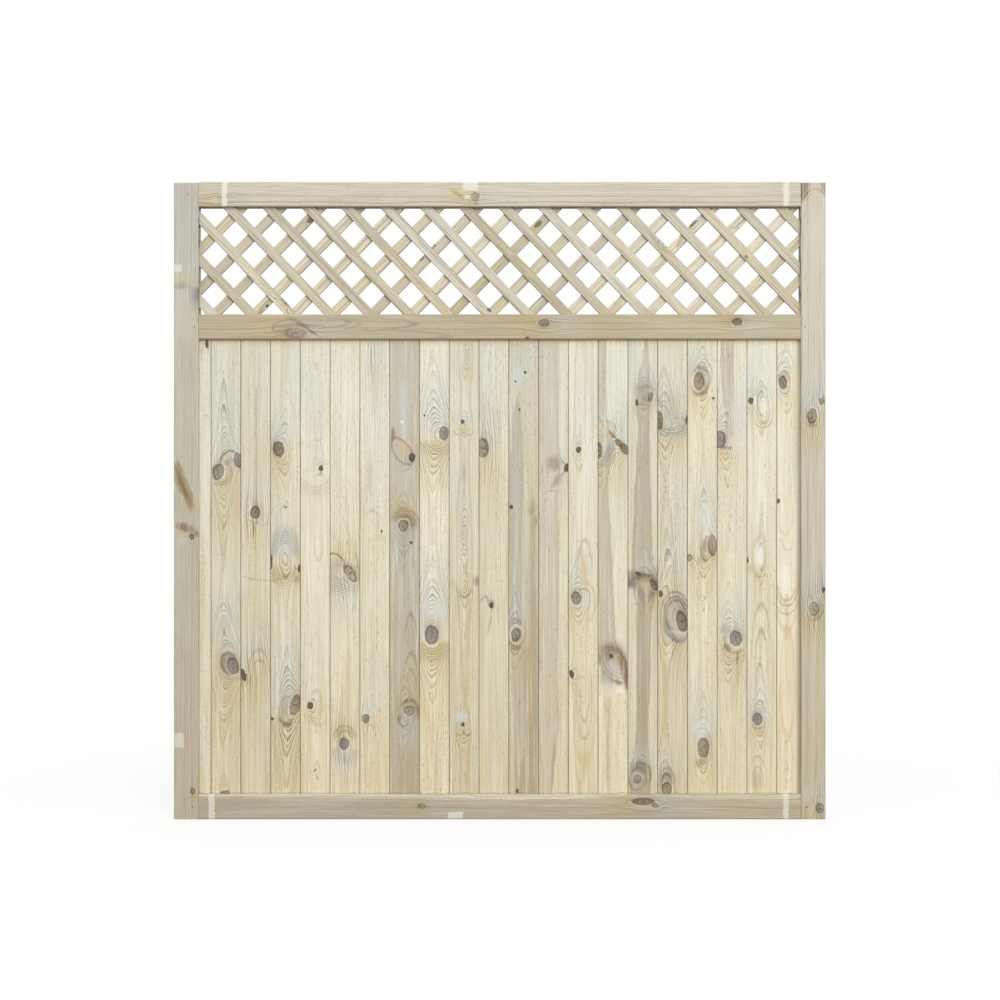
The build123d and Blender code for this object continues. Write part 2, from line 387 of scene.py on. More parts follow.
class Timber(Finish):
    """The finish of one length of softwood, as a solid figure that runs through the piece."""

    def __init__(self, stock):
        super().__init__(stock.name + "_timber")
        self.stock = stock
        self.luck = random.Random(stock.name)
        self.away = self.luck.uniform(5.0, 60.0)
        sockets = {
            "Vector": self.object_coords(), "Location": stock.origin, "Rotation": (0.0, stock.turn, 0.0),
        }
        self.bench = self.node("ShaderNodeMapping", {"vector_type": "TEXTURE"}, sockets)
        self.across, self.depth, self.along = self.split(self.bench)
        self.colour = None

    def lay(self, amount, over):
        """Lay a tone over the colour so far."""
        self.colour = self.mix(amount, self.colour, over)

    def figure(self, spots, shift, detail, output=0):
        """Noise in the piece, moved along the axes that the shift names by 1."""
        offset = tuple(self.away * share for share in shift)
        return self.noise(self.bench, spots, offset, detail, output)

    def moved(self, point, noise, reach):
        centred = self.vector("SUBTRACT", noise, (0.5, 0.5, 0.5))
        return self.vector("MULTIPLY_ADD", centred, reach, point)

    def grow(self):
        """Rings of uneven width, which knots push aside, mostly along the grain."""
        stock = self.stock

        # The log is never quite straight, so its middle wanders along the length
        sway_noise = self.line_noise(self.along + self.away, SWAY_SPOTS, 2.0, output=1)
        sway, rise, self.vigour = self.split(sway_noise)
        off_across = self.across - stock.pith[0] * MM - (sway - 0.5) * SWAY_SPAN
        off_depth = self.depth - (stock.face + stock.pith[1]) * MM - (rise - 0.5) * RISE_SPAN
        log_radius = (off_across * off_across + off_depth * off_depth) ** 0.5

        # Small wobbles of the fibres bend the rings and the outlines of knots alike
        wobble = self.figure(WOBBLE_SPOTS, (1, 0, 1), 2.0, output=1)
        self.loose = self.moved(self.bench, wobble, WOBBLE_REACH)
        tremble = self.figure(TREMBLE_SPOTS, (0, 1, 1), 2.0, output=1)
        self.rough = self.moved(self.loose, tremble, TREMBLE_REACH)
        loose_parts = self.split(self.loose)
        self.loose_across = loose_parts[0]
        self.loose_along = loose_parts[2]
        radius = log_radius + (self.loose_across - self.across) * WOBBLE_IN_RINGS

        self.stir = 0.0
        self.lift = 0.0
        for middle, size, push, share in stock.bends():
            local, reach = self.oval(self.loose, middle, size)
            bulge = BULGE_BASE ** reach
            parts = self.split(local)
            if stock.parting:
                radius = radius - bulge * parts[0] * (stock.parting * push * PARTING_SHARE * MM)
            else:
                radius = radius - bulge * (push * MM)
            self.stir = bulge * share + self.stir
            self.lift = bulge * share * parts[2] + self.lift

        # Each year is pale at first and darker at its end
        self.growth = self.line_noise(radius + self.away, GROWTH_SPOTS, 3.0)
        year = self.fract(radius / (stock.ring * MM) + self.growth * UNEVEN_YEARS)
        self.late = year ** LATE_WOOD_POWER
        self.fibre = self.figure(FIBRE_SPOTS, (1, 1, 0), 3.0)
        self.hair = self.figure(HAIR_SPOTS, (0, 1, 1), 2.0)
        self.streak = self.figure(STREAK_SPOTS, (0, 1, 1), 2.0)
        self.cloud = self.split(self.figure(CLOUD_SPOTS, (1, 1, 0), 2.0, output=1))
        self.speck = self.figure(SPECK_SPOTS, (1, 1, 0), 2.0)
        self.broken = self.fade(self.cloud[2] + (self.speck - 0.5) * 0.8, 0.3, 0.6) * 0.6 + 0.4

    def tint(self):
        """The colour of the wood, greyer at the upper end and warmer at the lower one: partly the wood's own
        tone and partly painted light, with the upper end as if lit by a pale sky.
        """
        stock = self.stock
        low, high = stock.span
        warmth = self.slope(self.along, low, high, stock.warm[1], stock.warm[0])
        uneven = (self.streak - 0.5) * 1.2 + (self.cloud[0] - 0.5) * 0.8
        self.colour = self.mix(warmth + uneven, *stock.tones)
        self.lay(self.fade(self.cloud[1], 0.46, 0.66) * (1.0 - warmth) * stock.cool, COOL)
        self.lay(self.fade(self.streak, 0.5, 0.72) * 0.45, GREENISH)
        self.late_tone = self.mix(warmth, *stock.late)
        self.lay(self.fade(self.growth, 0.5, 0.74) * stock.line * 0.7, self.late_tone)

    def draw_stripes(self):
        for left_points, right_points, stripe_tone, amount, soft in self.stock.stripes:
            from_left = self.loose_across - self.outline(self.along, left_points)
            from_right = self.outline(self.along, right_points) - self.loose_across
            inside = self.fade(from_left, -soft * MM, soft * MM)
            inside = inside * self.fade(from_right, -soft * MM, soft * MM)
            low_end = min(left_points[0][0], right_points[0][0]) * MM
            high_end = max(left_points[-1][0], right_points[-1][0]) * MM
            inside = inside * self.fade(self.along, low_end - STRIPE_END, low_end + STRIPE_END)
            inside = inside * self.fade(self.along, high_end + STRIPE_END, high_end - STRIPE_END)
            rim = self.fade(from_left.math("MINIMUM", from_left, from_right), STRIPE_RIM, 1.0 * MM)
            streaky = 0.85 + (self.fibre - 0.5) * 0.6 + (self.streak - 0.5) * 0.5
            self.lay(inside * streaky * amount, stripe_tone)
            self.lay(inside * rim * (0.3 * amount), HEART_BROWN)

    def draw_grain(self):
        """Late wood, stronger and of another colour near knots, then fibres and small dark pits."""
        stock = self.stock
        line_tone = self.late_tone
        strength = self.vigour * (1.2 * stock.line) + 0.25 * stock.line
        if stock.knots or stock.swells:
            above = self.fade(self.lift, 0.02, 0.26)
            below = self.fade(self.lift, -0.02, -0.26)
            if stock.flip:
                above, below = below, above
            line_tone = self.mix(self.fade(self.stir, 0.08, 0.5), line_tone, NEAR_LINE)
            line_tone = self.mix(below, self.mix(above, line_tone, COOL_LINE), OLIVE_LINE)
            self.lay(below * 0.3, YELLOW)
            self.lay(above * 0.3, COOL)
            strength = strength + self.fade(self.stir, 0.03, 0.4) * stock.stirred
        self.lay(self.late * strength, line_tone)
        self.lay(self.fade(self.fibre, 0.5, 0.72) * stock.grain, self.late_tone)
        self.lay(self.fade(self.fibre, 0.46, 0.3) * stock.pale, PALE)
        self.lay(self.fade(self.hair, 0.54, 0.74) * (0.8 * stock.grain), self.late_tone)
        pits = self.figure(PIT_SPOTS, (1, 0, 1), 1.0)
        patchy = self.fade(self.cloud[2], 0.3, 0.62) * 0.8 + 0.2
        self.lay(self.fade(pits, 0.55, 0.72) * (self.late + 0.2) * patchy * stock.pits, GRIME)

    def draw_stains(self):
        for across, along, wide, tall, stain_tone, amount, *lean in self.stock.stains:
            reach = self.oval(self.loose, (across, along), (wide, tall), *lean)[1]
            streaky = self.fade(self.growth + (self.fibre - 0.5) * 0.6, 0.3, 0.62) * 0.5 + 0.5
            self.lay(self.fade(reach, 1.2, 0.3) * streaky * amount, stain_tone)

    def draw_arcs(self):
        for across, along, wide, tall, turn, arc_tone, amount, thick, side, limit in self.stock.arcs:
            local, reach = self.oval(self.rough, (across, along), (wide, tall), turn)
            share = thick / wide
            band = self.fade(abs(reach - 1.0), 2.0 * share, 0.1 * share)
            band = band * self.part_round(local, side, limit)
            self.lay(band * self.broken * amount, arc_tone)

    def draw_halos(self):
        for across, along, wide, tall, turn, halo_tone, amount, out, side, limit in self.stock.halos:
            local, reach = self.oval(self.loose, (across, along), (wide, tall), turn)
            lines = self.fract(reach * (tall / 2 / HALO_RING) + self.growth * 0.35) ** 2.4
            band = self.fade(reach, out, 0.6 + 0.4 * out) * self.fade(reach, 0.9, 1.1)
            band = band * self.part_round(local, side, limit)
            self.lay(band * (lines * 0.85 + 0.12) * amount, halo_tone)

    def draw_knots(self):
        for across, along, wide, tall, look, *lean in self.stock.knots:
            local, reach = self.oval(self.rough, (across, along), (wide, tall), *lean)
            middle_tone, rim_tone = KNOT_LOOKS[look]
            bearing = self.luck.uniform(0.0, 2.0 * math.pi)
            shade = self.toward(local, (math.cos(bearing), 0.0, math.sin(bearing)))
            shade = self.fade(shade, -1.0, 1.0)
            dark = self.fade(self.speck, 0.42, 0.66) * 0.6 + shade * 0.35
            if tall > LARGE_KNOT:
                years = self.fract(reach * (wide / 2 / KNOT_RING) + self.growth)
                dark = dark + (years ** 1.6) * 0.45 - 0.2
                halo = self.fade(reach, 2.1, 1.0) * (shade * 0.75 + 0.25)
                self.lay(self.fade(reach, 1.5, 1.15) * (1.0 - shade) * 0.35, PALE)
                self.lay(halo * ((years ** 1.5) * 0.6 + 0.2) * 0.7, HALO_BROWN)
            knot_tone = self.mix(dark, middle_tone, rim_tone)
            if tall > LARGE_KNOT:
                tilt = bearing + self.luck.uniform(0.6, 2.4)
                off_check = abs(self.toward(local, (math.cos(tilt), 0.0, math.sin(tilt))))
                check = self.fade(off_check, 0.16, 0.03) * self.fade(reach, 0.8, 0.3)
                knot_tone = self.mix(check * 0.5, knot_tone, CRACK)
            rim = self.fade(reach, 0.64, 0.92) * (shade * 0.4 + 0.6) * (self.broken * 0.5 + 0.5)
            knot_tone = self.mix(rim, knot_tone, rim_tone)
            solid = FAINT_SOLID if look == "faint" else KNOT_SOLID
            self.lay(self.fade(reach, 1.18, 0.9) * solid, knot_tone)

    def draw_bars(self):
        for across, along, wide, tall, bar_tone, amount, soft in self.stock.bars:
            off_across = abs(self.loose_across - across * MM)
            off_along = abs(self.loose_along - along * MM)
            side = self.fade(off_across, (wide / 2 + soft) * MM, (wide / 2 - soft) * MM)
            run = self.fade(off_along, (tall / 2 + soft) * MM, (tall / 2 - soft) * MM)
            self.lay(side * run * amount, bar_tone)

    def soil(self):
        """Painted shade along edges and on one side, and end grain on what looks up or down."""
        stock = self.stock
        # painted shade along edges
        for clean, dirty, amount in stock.grimy_edges:
            self.lay(self.fade(self.across, clean * MM, dirty * MM) * amount, GRIME)
        # painted shade on the side that looks the given way
        if stock.grimy_side:
            facing = self.toward(self.node("ShaderNodeNewGeometry", output=1), stock.grimy_side)
            self.lay(self.fade(facing, 0.35, 0.95) * stock.side_grime, stock.side_tone)
        if stock.ends:
            facing = self.split(self.node("ShaderNodeNewGeometry", output=1))[2]
            self.lay(self.fade(abs(facing), 0.6, 0.9) * END_GRAIN_SHARE, END_GRAIN)

    def done(self):
        self.grow()
        self.tint()
        self.draw_stripes()
        self.draw_grain()
        self.draw_stains()
        self.draw_arcs()
        self.draw_halos()
        self.draw_knots()
        self.draw_bars()
        self.soil()
        if self.stock.shade:
            self.colour = self.vector("MULTIPLY", self.colour, self.stock.shade)
        roughness = 0.68 + (self.fibre - 0.5) * 0.3 - self.late * 0.06
        height = self.fibre * 0.6 + self.hair * 0.3 + self.late * 0.5
        return self.surface(self.colour, roughness, height, GRAIN_BUMP)


def dress(name, material):
    for slot in nodes[name].material_slots:
        slot.material = material


def dress_timber(stock):
    dress(stock.name, Timber(stock).done())


# Boards. Places are millimetres from the board's left edge and from the ground, seen from the front.

BOARD_SPAN = (0.05, 1.36)
BOARD_WARM = (0.15, 0.85)
BOARD_BALANCE = (0.98, 1.0, 1.025)
# A tan band along the top of every board, just under the middle rail
BOARD_TOP_STAIN = (42, 1346, 170, 30, ORANGE, 0.4)
# A painted shade line where each board goes into the bottom rail
BOARD_FOOT_LINE = (42, 71.4, 100, 2.6, GRIME, 0.45, 1.0)
TONGUE_LENGTH = 6.0
# Painted shade in the seams between boards
SEAM_GRIME = 0.55
SEAM_REACH = (1.5, 0.3)  # where the painted shade in a seam starts and where it is full
LAST_BOARD = 21
LAST_BOARD_SHADOW = (50, 62, 0.45)


def board(number, sort, pith, ring, shade=1.0, warm=BOARD_WARM, stains=(), bars=(), **figure):
    name = f"board_{number:02d}"
    box_low, box_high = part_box(name)
    right_seam = (box_high.x - box_low.x) / MM - TONGUE_LENGTH
    # Painted shade in both seams, and on the last board the painted shadow of the stile
    starts, full = SEAM_REACH
    edges = [(starts, full, SEAM_GRIME), (right_seam - starts, right_seam - full, SEAM_GRIME)]
    if number == LAST_BOARD:
        edges.append(LAST_BOARD_SHADOW)
    dress_timber(Stock(
        name, (box_low.x, 0.0, 0.0), 0.0, pith, ring, BOARD_TONES[sort], warm, BOARD_SPAN,
        shade=[share * shade for share in BOARD_BALANCE],
        stains=[*stains, BOARD_TOP_STAIN],
        bars=[*bars, BOARD_FOOT_LINE],
        grimy_edges=edges,
        **figure,
    ))


board(
    1, "cream", (-40, 60), 5.5, warm=(0.0, 0.75), parting=1,
    knots=[(31, 1335, 10, 24, "dark")],
    stains=[(16, 1322, 24, 40, ORANGE, 0.3)],
)
board(
    2, "buff", (34, 24), 4.9,
    knots=[
        (20, 976, 31, 46, "grey", 12), (76, 1010, 26, 40, "mauve", -10), (50, 438, 44, 62, "tan", -12),
        (62, 430, 33, 46, "mauve", -16), (41, 72, 24, 15, "brown"),
    ],
    swells=[(38, 1010, 60, 480, 30), (36, 540, 50, 90, 20), (38, 350, 50, 90, 14)],
    stains=[
        (48, 1004, 40, 22, BROWN, 0.5, -40), (64, 900, 40, 110, ORANGE, 0.3),
        (60, 345, 50, 90, ORANGE, 0.35), (44, 462, 60, 46, BLUE_GREY, 0.25),
    ],
    arcs=[
        (54, 1000, 58, 68, 0, GRIME, 0.8, 5, 112, 0.2), (30, 975, 52, 60, 0, BROWN, 0.45, 9, -40, 0.1),
        (30, 948, 44, 22, 0, GRIME, 0.6, 3, -80, 0.2), (50, 440, 48, 64, -12, GRIME, 0.6, 3, 110, -0.2),
        (60, 405, 60, 28, 0, GRIME, 0.5, 4, -60, 0.1),
    ],
)
board(
    3, "buff", (-70, 50), 6.1, shade=0.965, parting=1,
    knots=[(40, 862, 26, 36, "red"), (7, 404, 15, 36, "dark", -16)],
    swells=[(52, 452, 54, 110, 40)],
    stains=[
        (46, 620, 18, 300, TAN, 0.6), (40, 888, 24, 26, ORANGE, 0.6), (35, 812, 8, 60, BROWN, 0.7, 4),
        (47, 392, 24, 40, ORANGE, 0.35),
    ],
    arcs=[
        (40, 862, 44, 62, 0, LINE_GREY, 0.6, 3, -40, -0.2),
        (60, 845, 34, 44, 0, LINE_GREY, 0.5, 3, -60, 0.0), (51, 400, 62, 150, 0, BROWN, 0.4, 3, 90, -0.1),
        (52, 410, 40, 72, 0, BROWN, 0.4, 3, 90, 0.0), (79, 772, 320, 204, 0, GRIME, 0.95, 2.2, -90, 0.87),
    ],
    bars=[(43, 1040, 3.0, 340, BROWN, 0.4, 2.0)],
)
board(
    4, "buff", (44, 22), 4.8, shade=1.02,
    knots=[
        (22, 1040, 32, 44, "bark", -8), (42, 877, 10, 4, "dark", 0), (2, 722, 8, 40, "dark"),
        (81, 703, 11, 22, "dark"), (69, 320, 27, 58, "brown", 14), (5, 281, 9, 11, "dark"),
    ],
    swells=[(38, 735, 80, 170, 24), (50, 300, 110, 240, 26)],
    halos=[
        (38, 738, 40, 66, 0, COOL_LINE, 0.75, 3.2, 90, 0.1),
        (40, 716, 40, 60, 0, OLIVE_LINE, 0.65, 2.6, -90, 0.2),
    ],
    stains=[
        (30, 1005, 54, 22, OLIVE, 0.8), (50, 1080, 40, 60, COOL, 0.6),
        (40, 310, 34, 64, BLUE_GREY, 0.55, 10), (76, 672, 24, 26, BROWN, 0.4),
        (18, 680, 40, 24, OLIVE, 0.6, -20), (47, 268, 30, 18, BROWN, 0.6, 10),
        (40, 780, 60, 90, COOL, 0.6),
    ],
    arcs=[
        (36, 862, 20, 30, 0, LINE_GREY, 0.5, 3, 120, 0.2), (44, 305, 40, 78, 8, SLATE, 0.6, 4, 150, -0.1),
        (47, 298, 40, 72, 10, GRIME, 0.7, 5, -80, 0.1), (46, 290, 22, 46, 10, BROWN, 0.6, 4, -60, 0.0),
        (-5, 743, 180, 146, 0, GRIME, 0.95, 2.0, -70, 0.88),
    ],
)
board(
    5, "cream", (50, 46), 5.5,
    knots=[(57, 986, 11, 16, "dark"), (27, 318, 15, 20, "dark"), (41, 136, 11, 4, "dark", -40)],
    halos=[
        (54, 984, 24, 30, 0, LINE_GREY, 0.35, 3.0, 110, 0.1),
        (44, 968, 60, 60, 0, LINE_OLIVE, 0.5, 2.6, -90, 0.4),
        (34, 320, 26, 40, 0, LINE_OLIVE, 0.4, 3.2, -40, 0.3),
    ],
    stains=[(56, 966, 34, 12, OLIVE, 0.7), (57, 974, 6, 12, GRIME, 0.7)],
    arcs=[(60, 300, 50, 80, 30, LINE_OLIVE, 0.4, 3, -90, 0.5)],
)
board(
    6, "cream", (140, 70), 5.5, shade=1.01, parting=-1, flip=True,
    knots=[(56, 690, 25, 56, "russet", -34), (40, 210, 25, 33, "mauve", 14)],
    halos=[
        (28, 704, 50, 60, -20, COOL_LINE, 0.7, 3.2, -90, 0.1),
        (41, 222, 36, 40, 0, OLIVE_LINE, 0.6, 2.4, 90, 0.2),
        (42, 200, 36, 40, 0, COOL_LINE, 0.5, 2.8, -90, 0.2),
    ],
    stains=[
        (16, 712, 44, 60, HEART_GREY, 0.65, -20), (24, 752, 40, 40, ORANGE, 0.45, -40),
        (40, 735, 20, 40, ORANGE, 0.4, -40), (38, 105, 22, 80, ORANGE, 0.4),
        (34, 224, 12, 14, CRACK, 0.8, 20),
    ],
    arcs=[
        (12, 705, 60, 84, -8, BROWN, 0.85, 4, 80, 0.35),
        (30, 720, 60, 90, 0, LINE_GREY, 0.4, 4, -90, 0.0),
        (40, 232, 54, 60, 0, LINE_OLIVE, 0.6, 4, 90, 0.2),
        (42, 228, 36, 36, 0, LINE_OLIVE, 0.6, 4, 90, 0.2),
    ],
)
board(
    7, "cream", (-60, 60), 6.1, shade=0.98, parting=1,
    knots=[(61, 809, 5, 9, "dark"), (16, 282, 19, 24, "mauve")],
    swells=[(35, 1290, 40, 110, 20)],
    stains=[
        (28, 975, 12, 170, MAUVE, 0.8), (36, 440, 16, 340, ORANGE, 0.28), (34, 120, 18, 120, ORANGE, 0.4),
        (55, 790, 34, 26, ORANGE, 0.45), (24, 264, 36, 16, OLIVE, 0.7), (32, 306, 44, 20, COOL, 0.9),
    ],
    arcs=[
        (38, 302, 30, 16, 0, LINE_GREY, 0.5, 3, 80, 0.0),
        (44, 830, 40, 80, -24, LINE_GREY, 0.4, 3, 60, 0.5),
    ],
)
board(
    8, "grey", (38, 34), 5.2, shade=0.93, flip=True,
    knots=[
        (63, 1017, 18, 24, "dark"), (38, 825, 26, 34, "grey"), (60, 778, 8, 9, "dark"),
        (54, 303, 30, 28, "stone"),
    ],
    halos=[(40, 828, 32, 42, 0, GRIME, 0.8, 3.0, 75, 0.0)],
    stains=[
        (42, 1150, 40, 220, COOL, 0.7), (10, 1080, 16, 50, BROWN, 0.8), (35, 1116, 12, 11, PALE, 1.0),
        (40, 1044, 36, 60, TAN, 0.7, -34), (42, 858, 90, 70, TAN, 0.75), (34, 790, 70, 50, MAUVE, 0.8),
        (30, 640, 40, 160, GREENISH, 0.5), (27, 282, 14, 22, GRIME, 0.8), (45, 262, 50, 30, MAUVE, 0.6),
    ],
    arcs=[
        (36, 1034, 44, 84, -34, BROWN, 0.8, 4, 60, -0.1),
        (35, 1034, 46, 86, -34, GRIME, 0.7, 5, -130, 0.1),
        (60, 490, 34, 170, 0, BROWN, 0.55, 2.4, 90, 0.3),
        (59, 350, 46, 230, 0, BROWN, 0.55, 2.4, 90, 0.3), (60, 350, 30, 140, 0, BROWN, 0.5, 2.4, 90, 0.3),
        (42, 828, 38, 46, 0, GRIME, 0.8, 6, 55, 0.2), (42, 826, 60, 66, 0, BROWN, 0.5, 4, 75, 0.2),
        (42, 824, 80, 90, 0, BROWN, 0.4, 4, 75, 0.3), (48, 828, 20, 26, 0, PALE, 0.6, 4, 20, 0.4),
        (56, 300, 48, 66, 0, GRIME, 0.8, 8, 55, 0.2), (54, 302, 58, 62, 0, BROWN, 0.5, 3, 130, 0.1),
        (40, 276, 28, 30, 0, GRIME, 0.6, 4, -100, 0.2),
    ],
    stripes=[
        (((600, 2), (1000, 3), (1370, 3)), ((600, 9), (1000, 11), (1370, 13)), EDGE_CREAM, 0.8, 2.5),
    ],
    bars=[(41, 690, 1.6, 190, CRACK, 0.4, 1.0)],
)
board(
    9, "cream", (36, 28), 4.9, shade=1.05,
    knots=[(68, 1085, 26, 38, "slate", -4), (14, 1135, 5, 9, "dark"), (34, 517, 38, 54, "slate")],
    swells=[(50, 1076, 110, 190, 30), (36, 530, 110, 220, 30)],
    halos=[
        (36, 508, 60, 56, 0, OLIVE_LINE, 0.75, 3.0, -90, 0.4),
        (52, 1070, 60, 44, 0, OLIVE_LINE, 0.65, 2.8, -95, 0.4),
    ],
    stains=[
        (50, 1056, 34, 24, OLIVE, 0.8), (44, 1015, 80, 50, OLIVE, 0.35), (38, 480, 80, 40, OLIVE, 0.6),
        (36, 220, 16, 240, ORANGE, 0.35), (40, 590, 70, 60, COOL, 0.6),
    ],
)
board(
    10, "buff", (44, 22), 4.8, shade=0.99, line=0.7,
    knots=[(37, 1117, 9, 12, "dark"), (38, 265, 10, 11, "dark")],
    swells=[
        (50, 1300, 34, 100, 30), (44, 1105, 50, 60, 22), (41, 800, 40, 180, 40), (42, 650, 40, 70, 22),
        (38, 240, 50, 60, 20),
    ],
    stains=[
        (76, 668, 22, 36, GRIME, 0.6), (10, 660, 20, 40, OLIVE, 0.7), (42, 965, 12, 90, BROWN, 0.3),
        (40, 1094, 44, 14, ORANGE, 0.5), (32, 287, 44, 30, COOL, 0.9), (38, 248, 30, 12, OLIVE, 0.8),
        (46, 672, 30, 24, TAN, 0.5),
    ],
    arcs=[
        (42, 660, 44, 70, 0, BROWN, 0.5, 4, -90, 0.3),
        (28, 1092, 28, 20, 0, LINE_OLIVE, 0.7, 3, -90, 0.0),
        (54, 1090, 30, 20, 0, LINE_OLIVE, 0.7, 3, -90, 0.0),
        (29, 244, 22, 18, 0, BROWN, 0.8, 4, -70, 0.0), (50, 246, 22, 22, 0, BROWN, 0.8, 4, -110, 0.0),
    ],
)
board(
    11, "buff", (120, 50), 5.5, shade=0.99, parting=-1,
    knots=[(10, 1043, 32, 54, "grey"), (36, 600, 12, 15, "dark")],
    stains=[
        (79, 700, 10, 300, ORANGE, 0.4), (16, 1150, 22, 160, ORANGE, 0.25), (36, 606, 24, 24, BROWN, 0.5),
        (28, 540, 8, 90, BROWN, 0.4, 12), (30, 260, 12, 300, ORANGE, 0.4),
    ],
    arcs=[
        (16, 602, 26, 44, 0, BROWN, 0.5, 4, 70, 0.2), (18, 1060, 34, 56, 0, LINE_OLIVE, 0.5, 3, 80, 0.2),
    ],
)
board(
    12, "dun", (18, 24), 5.2, shade=0.94,
    knots=[
        (46, 1257, 7, 8, "dark"), (19, 1230, 8, 5, "dark"), (29, 1152, 4, 10, "dark"),
        (7, 876, 9, 12, "dark"), (20, 518, 26, 38, "mauve", 8), (23, 77, 9, 12, "dark"),
    ],
    stains=[
        (24, 1245, 40, 90, COOL, 0.9), (76, 838, 14, 46, BROWN, 0.5),
        (62, 866, 40, 24, COOL_LINE, 0.35, -20), (22, 554, 40, 22, MAUVE_DARK, 0.7),
        (20, 480, 40, 18, GRIME, 0.6), (31, 326, 6, 14, GRIME, 0.6),
    ],
    arcs=[(20, 518, 38, 54, 8, PALE, 0.35, 4, 0, -1.0), (20, 520, 52, 72, 0, BROWN, 0.6, 4, -60, -0.2)],
    stripes=[
        (
            ((540, 5), (800, 3), (1000, 0), (1060, 9), (1130, 11), (1190, 24)),
            ((540, 36), (800, 37), (900, 40), (1000, 40), (1060, 36), (1130, 34), (1190, 26)),
            SMOKE, 0.85, 3,
        ),
        (((50, 18), (300, 13), (470, 8)), ((50, 26), (300, 34), (470, 40)), HEART_GREY, 0.6, 5),
        (((50, 52), (400, 56), (900, 62)), ((50, 78), (400, 80), (900, 72)), HEART_BROWN, 0.85, 6),
        (((50, 28), (250, 40), (480, 40)), ((50, 46), (250, 52), (480, 60)), HEART_BROWN, 0.7, 6),
    ],
)
board(
    13, "cream", (8, 24), 5.8, shade=0.97,
    knots=[(79, 988, 15, 26, "dark", 20)],
    stains=[
        (44, 1000, 60, 52, BROWN, 0.55), (50, 952, 20, 70, COOL_LINE, 0.5, 36),
        (35, 923, 30, 5, BROWN, 0.6), (23, 380, 14, 160, YELLOW, 0.5), (40, 150, 10, 200, BROWN, 0.35, 4),
    ],
    stripes=[
        (
            ((50, -3), (1370, -3)),
            (
                (60, 36), (130, 44), (200, 52), (270, 57), (400, 55), (700, 57), (800, 58), (900, 56),
                (1000, 60), (1100, 57), (1370, 60),
            ),
            HEART_TINT, 0.85, 2,
        ),
        (((760, 0), (1370, 2)), ((760, 50), (1370, 56)), MAUVE_PALE, 0.6, 8),
    ],
)
board(
    14, "cream", (32, 30), 5.1, shade=0.99,
    knots=[(28, 1038, 14, 17, "dark"), (22, 620, 27, 37, "grey", -8), (9, 407, 14, 23, "dark", -10)],
    stains=[
        (45, 700, 30, 120, TAN, 0.7), (45, 160, 46, 90, ORANGE, 0.4), (28, 1060, 12, 24, BROWN, 0.35),
        (44, 606, 26, 36, COOL, 0.8), (34, 396, 30, 14, OLIVE, 0.7),
    ],
    arcs=[
        (42, 615, 40, 64, 0, BROWN, 0.5, 4, 40, 0.1), (46, 610, 60, 110, 0, TAN, 0.7, 6, 30, 0.0),
        (45, 290, 56, 270, 0, ORANGE, 0.45, 7, -90, -0.6),
        (45, 345, 28, 140, 0, LINE_OLIVE, 0.5, 2.2, -90, -0.2),
        (45, 335, 44, 220, 0, LINE_OLIVE, 0.5, 2.2, -90, -0.3),
        (46, 690, 40, 190, 0, LINE_OLIVE, 0.45, 2.6, 90, 0.0),
    ],
)
board(
    15, "cream", (4, 18), 5.1, shade=1.03,
    knots=[
        (1, 1036, 20, 44, "bark"), (60, 1056, 17, 30, "bark", -52), (74, 1042, 21, 34, "bark", -30),
        (37, 457, 12, 15, "dark"),
    ],
    halos=[(40, 448, 40, 50, 0, BROWN, 0.5, 2.4, 60, 0.0)],
    stains=[
        (20, 1092, 56, 56, TAN, 0.6, -20), (42, 1078, 13, 52, BROWN, 0.95, -42),
        (28, 1026, 34, 84, BLUE_GREY, 0.7, 30), (14, 1046, 26, 40, MAUVE_PALE, 0.6),
        (40, 452, 92, 110, WALNUT, 0.9), (40, 424, 52, 50, MAUVE_PALE, 0.8, -20),
        (24, 398, 54, 66, BLUE_GREY, 0.75, -40), (22, 366, 36, 50, MAUVE_PALE, 0.6),
        (74, 418, 26, 120, BROWN, 0.95, -10), (80, 388, 20, 70, BROWN, 0.9), (4, 448, 14, 40, BROWN, 0.9),
        (54, 384, 36, 18, SLATE, 0.8, 20), (62, 360, 34, 20, PALE, 0.6),
    ],
    arcs=[
        (4, 1080, 96, 60, -34, GRIME, 0.5, 4, 0, 0.6), (14, 1026, 40, 60, 0, LINE_GREY, 0.6, 3, -60, 0.2),
        (20, 1030, 56, 80, 0, LINE_GREY, 0.5, 3, -50, 0.2),
        (36, 424, 88, 116, -8, GRIME, 0.7, 8, 35, 0.35), (38, 458, 28, 34, 0, GRIME, 0.7, 4, 95, 0.2),
        (70, 470, 120, 150, 0, SLATE, 0.6, 3, -140, 0.5),
        (70, 470, 140, 176, 0, SLATE, 0.6, 3, -140, 0.5),
        (70, 470, 104, 126, 0, SLATE, 0.5, 3, -140, 0.5),
    ],
    stripes=[
        (
            ((460, -3), (500, 4), (600, 3), (650, -3), (1370, -3)),
            (
                (460, 66), (480, 56), (510, 49), (600, 45), (700, 40), (800, 36), (880, 30), (960, 28),
                (985, 31), (1015, 40), (1060, 44), (1095, 31), (1150, 24), (1230, 22), (1370, 27),
            ),
            MAUVE, 0.95, 2,
        ),
        (((50, 26), (200, 22), (340, 17)), ((50, 30), (200, 32), (340, 37)), TAN, 0.8, 3),
    ],
)
